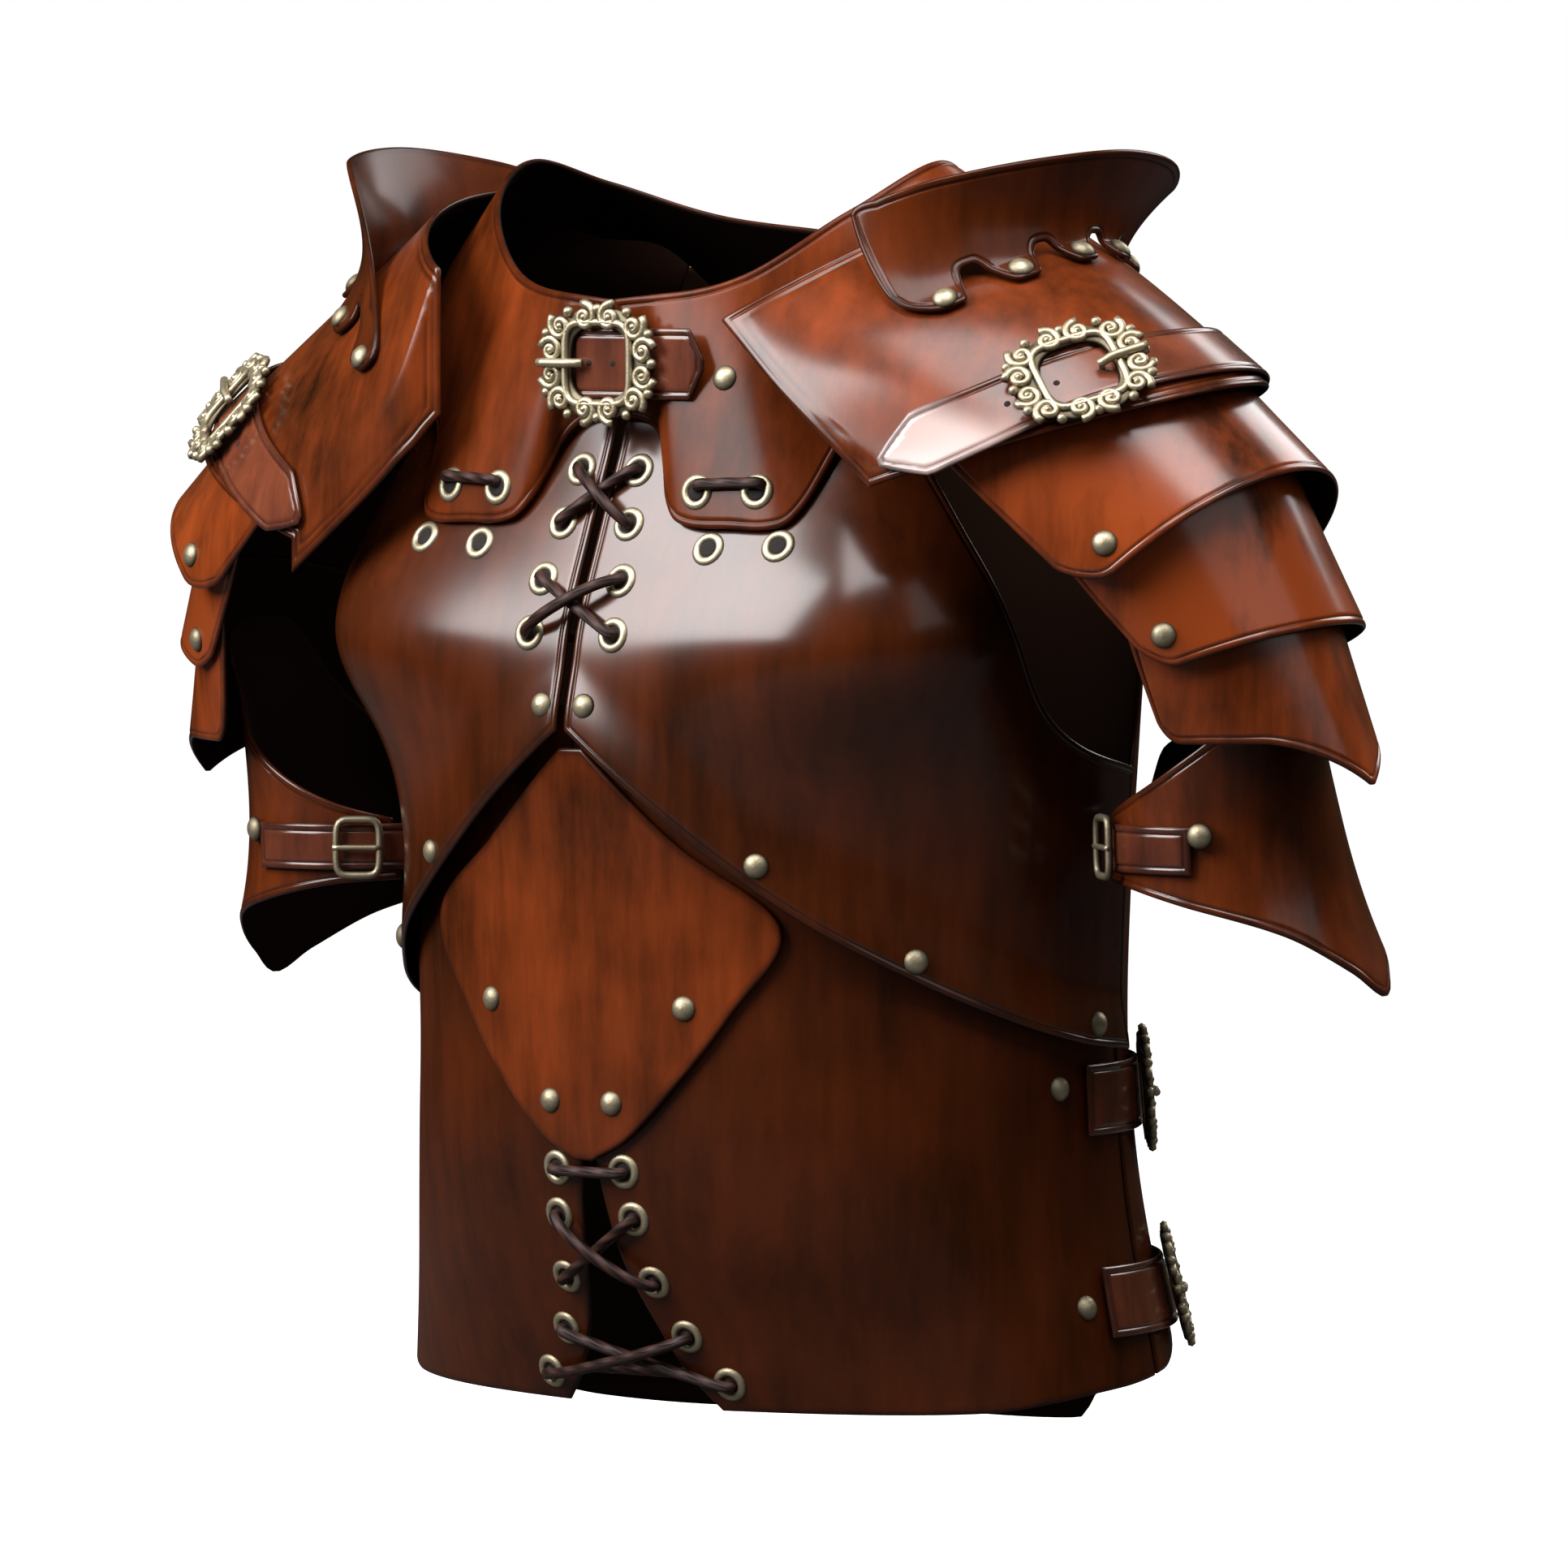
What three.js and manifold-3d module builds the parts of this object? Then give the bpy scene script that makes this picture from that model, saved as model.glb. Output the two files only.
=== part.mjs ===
// Leather chest armour: laced breast and belly plates, stomacher, back plate, gorget and shoulder guards.
// Millimetres, +Z up, the front faces -Y, the wearer's left is +X. The origin is the seat on the shoulders.
import * as THREE from "three";
import { mergeVertices } from "three/addons/utils/BufferGeometryUtils.js";
import Module from "manifold-3d";

const wasm = await Module();
wasm.setup();

// Driving dimensions
const PLATE = 2.4; // wall of a leather plate
const STRAP = 2.0; // wall of a strap
const CLEAR = 0.9; // clear space between two layers
const SEAT = 0.5; // clear space under a buckle
const LAYER = PLATE + CLEAR;
const EYELET_HOLE = 7.4; // diameter of a laced hole
const LACE_ROUND = 4; // diameter of a round lace
const STRAP_WIDTH = 27;

// Sections of the torso from the neck to the hem
const TORSO_SECTIONS = [
  { z: 30, halfWidth: 140, front: 66, back: 78 },
  { z: -20, halfWidth: 151, front: 78, back: 92 },
  { z: -60, halfWidth: 156, front: 86, back: 100 },
  { z: -100, halfWidth: 158, front: 101, back: 104 },
  { z: -140, halfWidth: 156, front: 115, back: 105 },
  { z: -180, halfWidth: 152, front: 120, back: 107 },
  { z: -230, halfWidth: 148, front: 117, back: 107 },
  { z: -290, halfWidth: 146, front: 115, back: 107 },
  { z: -335, halfWidth: 148, front: 112.5, back: 113 },
  { z: -370, halfWidth: 152, front: 105, back: 121 },
  { z: -400, halfWidth: 158, front: 92, back: 130 },
  { z: -445, halfWidth: 166, front: 75, back: 142 },
];
const BUST = { turn: 45, z: -137, depth: 24, spreadTurn: 17, spreadAbove: 36, spreadBelow: 26 };

// Rim of the neck hole and hem of the gorget, by the turn from the front
const NECK = { halfWidth: 97, front: 72, back: 62, y: -27 };
const NECK_RIM = [
  { turn: 0, z: -11 },
  { turn: 30, z: -4 },
  { turn: 60, z: 22 },
  { turn: 90, z: 40 },
  { turn: 120, z: 31 },
  { turn: 150, z: 18 },
  { turn: 180, z: 12 },
];
const GORGET_HEM = [
  { turn: 0, z: -58, ease: 0 },
  { turn: 6, z: -61, ease: 0 },
  { turn: 9.5, z: -72, ease: 0 },
  { turn: 12, z: -91, ease: 0 },
  { turn: 14.5, z: -98, ease: 0 },
  { turn: 22, z: -99, ease: 0 },
  { turn: 29.5, z: -98, ease: 0 },
  { turn: 32, z: -91, ease: 0 },
  { turn: 36, z: -66, ease: 0 },
  { turn: 48, z: -44, ease: 0 },
  { turn: 70, z: -24, ease: 0 },
  { turn: 90, z: -16, ease: 0 },
  { turn: 110, z: -20, ease: 0.2 },
  { turn: 135, z: -42, ease: 0.8 },
  { turn: 160, z: -64, ease: 0.9 },
  { turn: 180, z: -68, ease: 0.9 },
];

// Under the shoulder caps the gorget is cut narrow
const GORGET_REACH = [
  { turn: 0, share: 1 },
  { turn: 46, share: 1 },
  { turn: 62, share: 0.7 },
  { turn: 80, share: 0.46 },
  { turn: 100, share: 0.38 },
  { turn: 120, share: 0.36 },
  { turn: 136, share: 0.28 },
  { turn: 150, share: 0.6 },
  { turn: 162, share: 0.97 },
  { turn: 180, share: 1 },
];

// Turns where the gorget is faceted: close together around the tabs, wide apart behind
const GORGET_TURNS = [0.8, 4, 7, 9.5, 12, 14.5, 18, 22, 26, 29.5, 32, 36, 42]
  .concat([50, 60, 70, 80, 90, 102, 115, 130, 145, 162, 180]);

// Edges of the torso plates: height by the turn from the front
const BREAST_TOP = [
  { turn: 0, z: -50 },
  { turn: 30, z: -46 },
  { turn: 44, z: -60 },
  { turn: 58, z: -110 },
  { turn: 72, z: -158 },
  { turn: 84, z: -178 },
  { turn: 103, z: -188 },
];
const BREAST_BOTTOM = [
  { turn: 0, z: -172 },
  { turn: 12, z: -196 },
  { turn: 30, z: -232 },
  { turn: 45, z: -255 },
  { turn: 65, z: -277 },
  { turn: 85, z: -291 },
  { turn: 103, z: -296 },
];
const BREAST_SIDE = 103;
const BREAST_CENTRE_GAP = 0.7;
const BELLY_OVERLAP = 26; // how far a belly plate runs up under the breast plate
const BELLY_BOTTOM = [
  { turn: 0, z: -432 },
  { turn: 50, z: -431 },
  { turn: 80, z: -425 },
  { turn: 92, z: -417 },
  { turn: 103, z: -400 },
];
const BELLY_SIDE = 103;
const BELLY_GAP = [
  { z: -180, turn: 0.7 },
  { z: -330, turn: 0.9 },
  { z: -352, turn: 2 },
  { z: -376, turn: 3.4 },
  { z: -400, turn: 6 },
  { z: -418, turn: 9 },
  { z: -435, turn: 14 },
];
const STOMACHER_HALF = [
  { z: -180, turn: 2 },
  { z: -215, turn: 17 },
  { z: -246, turn: 33 },
  { z: -280, turn: 25 },
  { z: -310, turn: 15 },
  { z: -328, turn: 7.5 },
  { z: -336, turn: 1.5 },
];
const BACK_TOP = [
  { turn: 108, z: -188 },
  { turn: 112, z: -152 },
  { turn: 117, z: -104 },
  { turn: 123, z: -66 },
  { turn: 131, z: -24 },
  { turn: 137, z: -4 },
  { turn: 143, z: -6 },
  { turn: 151, z: -50 },
  { turn: 180, z: -58 },
];
const BACK_SIDE = 108;
// The back hem hangs lower on the right, from turn 180 on
const BACK_BOTTOM = [
  { turn: 108, z: -404 },
  { turn: 125, z: -412 },
  { turn: 142, z: -429 },
  { turn: 156, z: -442 },
  { turn: 164, z: -451 },
  { turn: 200, z: -452 },
  { turn: 230, z: -446 },
  { turn: 252, z: -440 },
];

// Laced rows: distance from the middle and height
const BREAST_EYELETS = [
  { x: 13.4, z: -79 },
  { x: 15.5, z: -99 },
  { x: 18.4, z: -120 },
  { x: 19.8, z: -139 },
];
const BELLY_EYELETS = [
  { x: 15.9, z: -340 },
  { x: 17.8, z: -358 },
  { x: 21, z: -382 },
  { x: 29, z: -403 },
  { x: 43, z: -421 },
];
const TAB_EYELETS = { inner: 47, outer: 71, z: -88 };

// Rings of the shoulder plates: the outermost point, the place and height of the ends of the half ring,
// how far it reaches to the front and to the back, how peaked its top is and how it tilts up to the back
const RING_COLUMNS = ["outX", "outZ", "endX", "endZ", "front", "back", "peak", "tilt"];
const SHOULDER_CAP = {
  left: [
    { at: 0, outX: 118, outZ: 25.4, endX: 66, endZ: -3.6, front: -114, back: 60, peak: 0.6, tilt: 14 },
    { at: 0.45, outX: 178, outZ: -1, endX: 104, endZ: -38, front: -122, back: 58, peak: 0.6, tilt: 9 },
    { at: 1, outX: 243, outZ: -43, endX: 142, endZ: -72, front: -119, back: 52, peak: 0.3, tilt: 6 },
  ],
  right: [
    { at: 0, outX: 118, outZ: 27.4, endX: 72, endZ: 8.4, front: -114, back: 60, peak: 0.6, tilt: 8 },
    { at: 0.45, outX: 173, outZ: -13, endX: 92, endZ: -43, front: -121, back: 58, peak: 0.6, tilt: 10 },
    { at: 1, outX: 239, outZ: -62, endX: 142, endZ: -92, front: -118, back: 52, peak: 0.3, tilt: 12 },
  ],
};
const CAP_WRAP = { front: -94, back: 74 };
const RIGHT_DROP = 13; // the right arm hangs lower than the left one
const LAME_TUCK = 0.6; // where on the plate above a lame begins
const CAP_TUCK = 0.8;
const LAMES = {
  lame_2: {
    lower: { outX: 261, outZ: -74, endX: 212, endZ: -118, front: -86, back: 44, peak: 0, tilt: 4 },
    wrapUpper: 66,
    wrapLower: 84,
    tip: 0,
  },
  lame_3: {
    lower: { outX: 270, outZ: -131, endX: 226, endZ: -147, front: -64, back: 43, peak: 0, tilt: 2 },
    wrapUpper: 74,
    wrapLower: 82,
    tip: 0,
  },
  lame_4: {
    lower: { outX: 278, outZ: -174, endX: 226, endZ: -174, front: -57, back: 45, peak: 0.7, tilt: 0 },
    wrapUpper: 76,
    wrapLower: 80,
    tip: 0.24,
  },
};

// Arm guard: sections of the sleeve and its edges by the turn around the arm
const ARM_SECTIONS = [
  { z: -120, x: 212, y: -8, radius: 37 },
  { z: -150, x: 212, y: -8, radius: 37 },
  { z: -205, x: 212, y: 4, radius: 41 },
  { z: -240, x: 213, y: 10, radius: 47 },
  { z: -280, x: 215, y: 14, radius: 60 },
];
const ARM_GUARD_SEAT = { at: 0.4, spare: 1.7, spread: 30, fade: 34 }; // its top leans on the lowest lame
const ARM_GUARD_TIP = 10; // turn of the lower point, from the outside to the back
const ARM_GUARD_WRAP = 158;
const ARM_GUARD_EDGES = [
  { away: -158, top: -204, bottom: -228 },
  { away: -125, top: -197, bottom: -230 },
  { away: -90, top: -184, bottom: -236 },
  { away: -45, top: -160, bottom: -247 },
  { away: -15, top: -130, bottom: -262 },
  { away: 0, top: -127, bottom: -271 },
  { away: 15, top: -130, bottom: -262 },
  { away: 45, top: -160, bottom: -247 },
  { away: 90, top: -182, bottom: -236 },
  { away: 125, top: -176, bottom: -230 },
  { away: 158, top: -178, bottom: -228 },
];

// Neck guard: from the tabs on the cap, through a waist, to the flared top edge
const NECK_GUARD = {
  seat: { at: 0.34, front: -40, back: 42 },
  waist: { x: 94, out: 44, y: -12, reach: 68, rise: 32, front: -52, back: 44 },
  top: { x: 105, out: 71, y: -10, reach: 83, front: -78, back: 54 },
};
const NECK_GUARD_TOP = [
  { turn: -78, z: 27 },
  { turn: -60, z: 35 },
  { turn: -30, z: 43 },
  { turn: 0, z: 46 },
  { turn: 30, z: 41 },
  { turn: 54, z: 32 },
];

// Straps: their course over the plate they lie on
const SHOULDER_STRAP = [
  { turn: -88, at: 0.92 },
  { turn: -58, at: 0.88 },
  { turn: -32, at: 0.84 },
  { turn: 0, at: 0.86 },
  { turn: 44, at: 0.88 },
];
const SHOULDER_BUCKLE_TURN = -32;
const GORGET_STRAP = { from: -14, to: 48, z: -35, stand: 106.8, bend: 400, buckle: 2 };
const SIDE_STRAPS = { upper: -314, lower: -391 };
const SIDE_STRAP = { from: 89, to: 134, buckle: 121, lift: 0.75 };
const ARM_STRAP = { from: 146, to: 288, z: -215, width: 18, buckle: 232 };
const BUCKLE = { length: 58, width: 47, openLength: 27, openWidth: 27, height: 3.2, scallops: 10, depth: 0.05 };
const ARM_BUCKLE = { length: 20, width: 25, openLength: 12, openWidth: 18, height: 2.4, scallops: 0, depth: 0 };

// Cubic curve through the rows of a table
function lookUp(table, key, column, at) {
  const last = table.length - 1;
  const rising = table[last][key] > table[0][key];
  let row = 0;
  while (row < last - 1 && (rising ? at > table[row + 1][key] : at < table[row + 1][key])) row += 1;
  const slope = (i) => {
    const a = table[Math.max(0, i - 1)];
    const b = table[Math.min(last, i + 1)];
    return (b[column] - a[column]) / (b[key] - a[key]);
  };
  const from = table[row];
  const to = table[row + 1];
  const span = to[key] - from[key];
  const t = Math.min(1, Math.max(0, (at - from[key]) / span));
  const t2 = t * t;
  const t3 = t2 * t;
  return (
    from[column] * (2 * t3 - 3 * t2 + 1) +
    to[column] * (3 * t2 - 2 * t3) +
    slope(row) * span * (t3 - 2 * t2 + t) +
    slope(row + 1) * span * (t3 - t2)
  );
}

const mix = (a, b, t) => a + (b - a) * t;
const smooth = (from, to, x) => {
  const t = Math.min(1, Math.max(0, (x - from) / (to - from)));
  return t * t * (3 - 2 * t);
};
const radians = THREE.MathUtils.degToRad;

// Torso: elliptic sections with two rounded breasts; a = turn from the front in degrees, b = height
function torso(a, b) {
  const angle = radians(a);
  const sine = Math.sin(angle);
  const cosine = Math.cos(angle);
  const depth = lookUp(TORSO_SECTIONS, "z", cosine > 0 ? "front" : "back", b);
  const rise = (b - BUST.z) / (b > BUST.z ? BUST.spreadAbove : BUST.spreadBelow);
  const swell = [-1, 1]
    .map((side) => Math.exp(-0.5 * (((a - side * BUST.turn) / BUST.spreadTurn) ** 2 + rise ** 2)))
    .reduce((sum, part) => sum + part, 0);
  return new THREE.Vector3(
    lookUp(TORSO_SECTIONS, "z", "halfWidth", b) * sine + BUST.depth * swell * sine,
    -depth * cosine - BUST.depth * swell * cosine,
    b,
  );
}

// Point of a surface moved outward along its own normal
function lifted(surface, a, b, lift, out) {
  const step = 0.02;
  const centre = surface(a, b);
  const along = surface(a + step, b).sub(surface(a - step, b));
  const across = surface(a, b + step).sub(surface(a, b - step));
  const normal = along.cross(across).normalize();
  if (normal.dot(out(centre)) < 0) normal.negate();
  return { point: centre.clone().addScaledVector(normal, lift), normal };
}
const fromAxis = (p) => new THREE.Vector3(p.x, p.y, 0);

// Closed wall over a grid of outer and inner points
function wall(grid) {
  const rows = grid.length;
  const columns = grid[0].length;
  const points = [];
  grid.forEach((line) => line.forEach((cell) => points.push(...cell.outer.toArray())));
  grid.forEach((line) => line.forEach((cell) => points.push(...cell.inner.toArray())));
  const inner = rows * columns;
  const at = (r, c) => r * columns + c;
  const faces = [];
  const quad = (a, b, c, d) => faces.push(a, b, c, a, c, d);
  for (let r = 0; r + 1 < rows; r += 1) {
    for (let c = 0; c + 1 < columns; c += 1) {
      quad(at(r, c), at(r, c + 1), at(r + 1, c + 1), at(r + 1, c));
      quad(inner + at(r, c), inner + at(r + 1, c), inner + at(r + 1, c + 1), inner + at(r, c + 1));
    }
  }
  for (let c = 0; c + 1 < columns; c += 1) {
    quad(at(0, c + 1), at(0, c), inner + at(0, c), inner + at(0, c + 1));
    quad(at(rows - 1, c), at(rows - 1, c + 1), inner + at(rows - 1, c + 1), inner + at(rows - 1, c));
  }
  for (let r = 0; r + 1 < rows; r += 1) {
    quad(at(r, 0), at(r + 1, 0), inner + at(r + 1, 0), inner + at(r, 0));
    const end = columns - 1;
    quad(at(r + 1, end), at(r, end), inner + at(r, end), inner + at(r + 1, end));
  }
  const geometry = new THREE.BufferGeometry();
  geometry.setAttribute("position", new THREE.Float32BufferAttribute(points, 3));
  geometry.setIndex(faces);
  return facingOut(geometry);
}

function volumeOf(geometry) {
  const p = geometry.attributes.position;
  const index = geometry.index.array;
  const corner = (i) => new THREE.Vector3().fromBufferAttribute(p, index[i]);
  let sum = 0;
  for (let i = 0; i < index.length; i += 3) sum += corner(i).dot(corner(i + 1).cross(corner(i + 2))) / 6;
  return sum;
}

function facingOut(geometry) {
  if (volumeOf(geometry) > 0) return geometry;
  const index = geometry.index.array;
  for (let i = 0; i < index.length; i += 3) [index[i + 1], index[i + 2]] = [index[i + 2], index[i + 1]];
  return geometry;
}

const steps = (count) => Array.from({ length: count }, (_, i) => i / (count - 1));

// Plate laid on a surface: place(u, v) gives the surface coordinates, lift(a, b) the inner face
function plate({ surface, out = fromAxis, columns, rows, place, lift, thickness = PLATE }) {
  return wall(
    rows.map((v) =>
      columns.map((u) => {
        const [a, b] = place(u, v);
        const low = typeof lift === "function" ? lift(a, b, u, v) : lift;
        const { point, normal } = lifted(surface, a, b, low, out);
        return { inner: point, outer: point.clone().addScaledVector(normal, thickness) };
      }),
    ),
  );
}

// Strap laid along a path of surface coordinates, with a pointed end where it is asked for
function strapAlong({ surface, out = fromAxis, path, count, width = STRAP_WIDTH, pointed = false, lift }) {
  const at = (t) => lifted(surface, ...path(t), lift, out);
  return wall(
    steps(count).map((t) => {
      const { point, normal } = at(t);
      const along = at(t + 0.01).point.sub(at(t - 0.01).point);
      const across = normal.clone().cross(along).normalize();
      const half = (width / 2) * (pointed && t > 0.9 ? mix(1, 0.12, (t - 0.9) / 0.1) : 1);
      return [-half, half].map((reach) => {
        const inner = point.clone().addScaledVector(across, reach);
        return { inner, outer: inner.clone().addScaledVector(normal, STRAP) };
      });
    }),
  );
}

// Frame standing on a surface: x along a path, y across it, z outward
function standing(surface, out, path, t, lift) {
  const { point, normal } = lifted(surface, ...path(t), lift, out);
  const ahead = surface(...path(t + 0.01)).sub(surface(...path(t - 0.01)));
  const across = normal.clone().cross(ahead).normalize();
  const along = across.clone().cross(normal).normalize();
  return new THREE.Matrix4().makeBasis(along, across, normal).setPosition(point);
}

// Buckle frame: a scalloped ring with a rounded opening
function buckleFrame({ length, width, openLength, openWidth, height, scallops, depth }, count) {
  const ring = Array.from({ length: count }, (_, i) => (i / count) * 2 * Math.PI);
  const edge = (angle, along, across, wave) => {
    const c = Math.cos(angle);
    const s = Math.sin(angle);
    const square = (Math.abs(c) ** 3 + Math.abs(s) ** 3) ** (-1 / 3);
    const swell = 1 + wave * Math.cos(scallops * angle);
    return [(c * square * swell * along) / 2, (s * square * swell * across) / 2];
  };
  const profile = ring.map((angle) => {
    const outside = edge(angle, length, width, depth);
    const inside = edge(angle, openLength, openWidth, 0);
    const shoulderOut = outside.map((value, k) => mix(value, inside[k], 0.22));
    const shoulderIn = outside.map((value, k) => mix(value, inside[k], 0.8));
    return [[...inside, 0], [...outside, 0], [...shoulderOut, height], [...shoulderIn, height]];
  });
  return loopOf(profile);
}

// Closed ring of sections, each section a closed loop of points
function loopOf(sections, closed = true) {
  const sides = sections[0].length;
  const count = sections.length;
  const faces = [];
  const at = (i, k) => (i % count) * sides + (k % sides);
  for (let i = 0; i < (closed ? count : count - 1); i += 1) {
    for (let k = 0; k < sides; k += 1) {
      faces.push(at(i, k), at(i + 1, k), at(i + 1, k + 1), at(i, k), at(i + 1, k + 1), at(i, k + 1));
    }
  }
  const geometry = new THREE.BufferGeometry();
  geometry.setAttribute("position", new THREE.Float32BufferAttribute(sections.flat(2), 3));
  geometry.setIndex(faces);
  return facingOut(geometry);
}

// Round lace drawn along a closed path of points
function laceLoop(points, sides = 4) {
  const count = points.length;
  let side = new THREE.Vector3(0, 0, 1);
  const frames = points.map((point, i) => {
    const ahead = points[(i + 1) % count].clone().sub(points[(i + count - 1) % count]).normalize();
    side = side.clone().addScaledVector(ahead, -side.dot(ahead)).normalize();
    return { point, side, over: ahead.cross(side) };
  });
  const first = frames[0];
  const last = frames[count - 1];
  const twist = Math.atan2(last.side.dot(first.over), last.side.dot(first.side));
  const sections = frames.map(({ point, side: across, over }, i) =>
    Array.from({ length: sides }, (_, k) => {
      const angle = (k / sides) * 2 * Math.PI - (twist * i) / count;
      const spot = point.clone().addScaledVector(across, (LACE_ROUND / 2) * Math.cos(angle));
      return spot.addScaledVector(over, (LACE_ROUND / 2) * Math.sin(angle)).toArray();
    }),
  );
  return loopOf(sections);
}

// Plate with round holes bored along its own normal
function bored(geometry, holes) {
  const solid = (g) =>
    new wasm.Manifold(
      new wasm.Mesh({
        numProp: 3,
        vertProperties: new Float32Array(g.attributes.position.array),
        triVerts: new Uint32Array(g.index.array),
      }),
    );
  const cut = holes.reduce((body, { point, normal }) => {
    const drill = new THREE.CylinderGeometry(EYELET_HOLE / 2, EYELET_HOLE / 2, 14, 6);
    const turn = new THREE.Quaternion().setFromUnitVectors(new THREE.Vector3(0, 1, 0), normal);
    drill.applyQuaternion(turn).translate(...point.toArray());
    drill.deleteAttribute("normal").deleteAttribute("uv");
    return body.subtract(solid(mergeVertices(drill, 1e-4)));
  }, solid(geometry));
  const mesh = cut.getMesh();
  const result = new THREE.BufferGeometry();
  result.setAttribute("position", new THREE.BufferAttribute(new Float32Array(mesh.vertProperties), 3));
  result.setIndex(Array.from(mesh.triVerts));
  return result;
}

const COLOURS = {
  leather: { color: 0x7a3420, roughness: 0.42, metalness: 0 },
  strap: { color: 0x5c2417, roughness: 0.45, metalness: 0 },
  lace: { color: 0x2c1a1c, roughness: 0.6, metalness: 0 },
  brass: { color: 0x8a6a3c, roughness: 0.38, metalness: 0.9 },
};

function named(name, geometry, look) {
  const mesh = new THREE.Mesh(geometry, new THREE.MeshStandardMaterial(COLOURS[look]));
  mesh.name = name;
  return mesh;
}

// Torso plates
const breastLift = (turn) => mix(2 * LAYER + 0.2, LAYER, smooth(38, 58, Math.abs(turn)));

function breastPlate(side) {
  const place = (u, v) => {
    const turn = mix(BREAST_CENTRE_GAP, BREAST_SIDE, u ** 1.05);
    const top = lookUp(BREAST_TOP, "turn", "z", turn);
    const bottom = lookUp(BREAST_BOTTOM, "turn", "z", turn);
    return [side * turn, mix(bottom, top, v)];
  };
  const flare = (a, b, u, v) => breastLift(a) + 3 * (1 - smooth(0, 0.22, v));
  const shell = plate({ surface: torso, columns: steps(14), rows: steps(11), place, lift: flare });
  const tabs = [TAB_EYELETS.inner, TAB_EYELETS.outer].map((x) => tabEyelet(side * x));
  return bored(shell, [...BREAST_EYELETS.map((row) => breastEyelet(row, side)), ...tabs]);
}

function bellyPlate(side) {
  const place = (u, v) => {
    const spread = mix(0, BELLY_SIDE, u);
    const top = lookUp(BREAST_BOTTOM, "turn", "z", spread) + BELLY_OVERLAP;
    const bottom = lookUp(BELLY_BOTTOM, "turn", "z", spread);
    const z = mix(bottom, Math.min(top, -164), v);
    return [side * mix(lookUp(BELLY_GAP, "z", "turn", z), BELLY_SIDE, u), z];
  };
  const shell = plate({ surface: torso, columns: steps(13), rows: steps(9), place, lift: 0 });
  return bored(shell, BELLY_EYELETS.map((row) => bellyEyelet(row, side)));
}

function stomacher() {
  const place = (u, v) => {
    const z = mix(-336, -180, v);
    return [mix(-1, 1, u) * lookUp(STOMACHER_HALF, "z", "turn", z), z];
  };
  return plate({ surface: torso, columns: steps(9), rows: steps(11), place, lift: LAYER + 0.2 });
}

function backPlate() {
  const place = (u, v) => {
    const turn = mix(BACK_SIDE, 360 - BACK_SIDE, u);
    const near = turn > 180 ? 360 - turn : turn;
    return [turn, mix(lookUp(BACK_BOTTOM, "turn", "z", turn), lookUp(BACK_TOP, "turn", "z", near), v)];
  };
  return plate({ surface: torso, columns: steps(19), rows: steps(7), place, lift: 0 });
}

// Place of an eyelet on the torso, given by its distance from the middle and its height
function eyelet(x, z, lift) {
  const turn = THREE.MathUtils.radToDeg(Math.asin(x / lookUp(TORSO_SECTIONS, "z", "halfWidth", z)));
  return lifted(torso, turn, z, lift, fromAxis);
}

const breastEyelet = (row, side) => eyelet(side * row.x, row.z, 2 * LAYER + PLATE / 2);
const bellyEyelet = (row, side) => eyelet(side * row.x, row.z, PLATE / 2);
const tabEyelet = (x) => eyelet(x, TAB_EYELETS.z, 2 * LAYER + PLATE / 2);

// Path of a lace: through every eyelet in turn, crossing in front or running on behind
function lacePath(stops, spare) {
  const away = PLATE / 2 + LACE_ROUND / 2 + spare;
  const points = [];
  stops.forEach(({ hole, outward, over }, i) => {
    const next = stops[(i + 1) % stops.length];
    const step = outward ? 1 : -1;
    points.push(hole.point.clone().addScaledVector(hole.normal, -step * away));
    points.push(hole.point.clone());
    const start = hole.point.clone().addScaledVector(hole.normal, step * away);
    points.push(start);
    const far = next.hole.point.clone().addScaledVector(next.hole.normal, step * away);
    const lean = hole.normal.clone().add(next.hole.normal).normalize();
    [0.2, 0.5, 0.8].forEach((t) => {
      const rise = (over ?? away * 0.35) * Math.sin(Math.PI * t) ** 0.5;
      points.push(start.clone().lerp(far, t).addScaledVector(lean, step * rise));
    });
  });
  return points;
}

const crossing = LACE_ROUND + 1.2;
function crossedLace(rows, eyeletOf, pairs) {
  const left = rows.map((row) => eyeletOf(row, 1));
  const right = rows.map((row) => eyeletOf(row, -1));
  const there = [];
  const back = [];
  pairs.forEach(([upper, lower], i) => {
    const [near, far] = i % 2 === 0 ? [left, right] : [right, left];
    there.push({ hole: near[upper], outward: true }, { hole: far[lower], outward: false });
    back.unshift({ hole: far[upper], outward: false });
    back.unshift({ hole: near[lower], outward: true, over: crossing });
  });
  return [...there, ...back];
}

const breastLace = () =>
  laceLoop(lacePath(crossedLace(BREAST_EYELETS, breastEyelet, [[0, 1], [2, 3]]), 0.3));

function bellyLace() {
  const crossed = crossedLace(BELLY_EYELETS, bellyEyelet, [[1, 2], [3, 4]]);
  const top = [
    { hole: bellyEyelet(BELLY_EYELETS[0], -1), outward: true },
    { hole: bellyEyelet(BELLY_EYELETS[0], 1), outward: false },
  ];
  return laceLoop(lacePath([...crossed, ...top], 0.7));
}

// Gorget: a skirt of leather from the neck rim to the hem; a = turn, b = 0 at the rim and 1 at the hem
const fromFront = (turn) => Math.abs(turn > 180 ? turn - 360 : turn);

function gorgetHem(turn) {
  const near = fromFront(turn);
  const z = lookUp(GORGET_HEM, "turn", "z", near);
  const lift = mix(3 * LAYER + 0.6, LAYER + 2.5, smooth(50, 110, near));
  return lifted(torso, turn > 180 ? turn - 360 : turn, z, lift, fromAxis).point;
}

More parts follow.
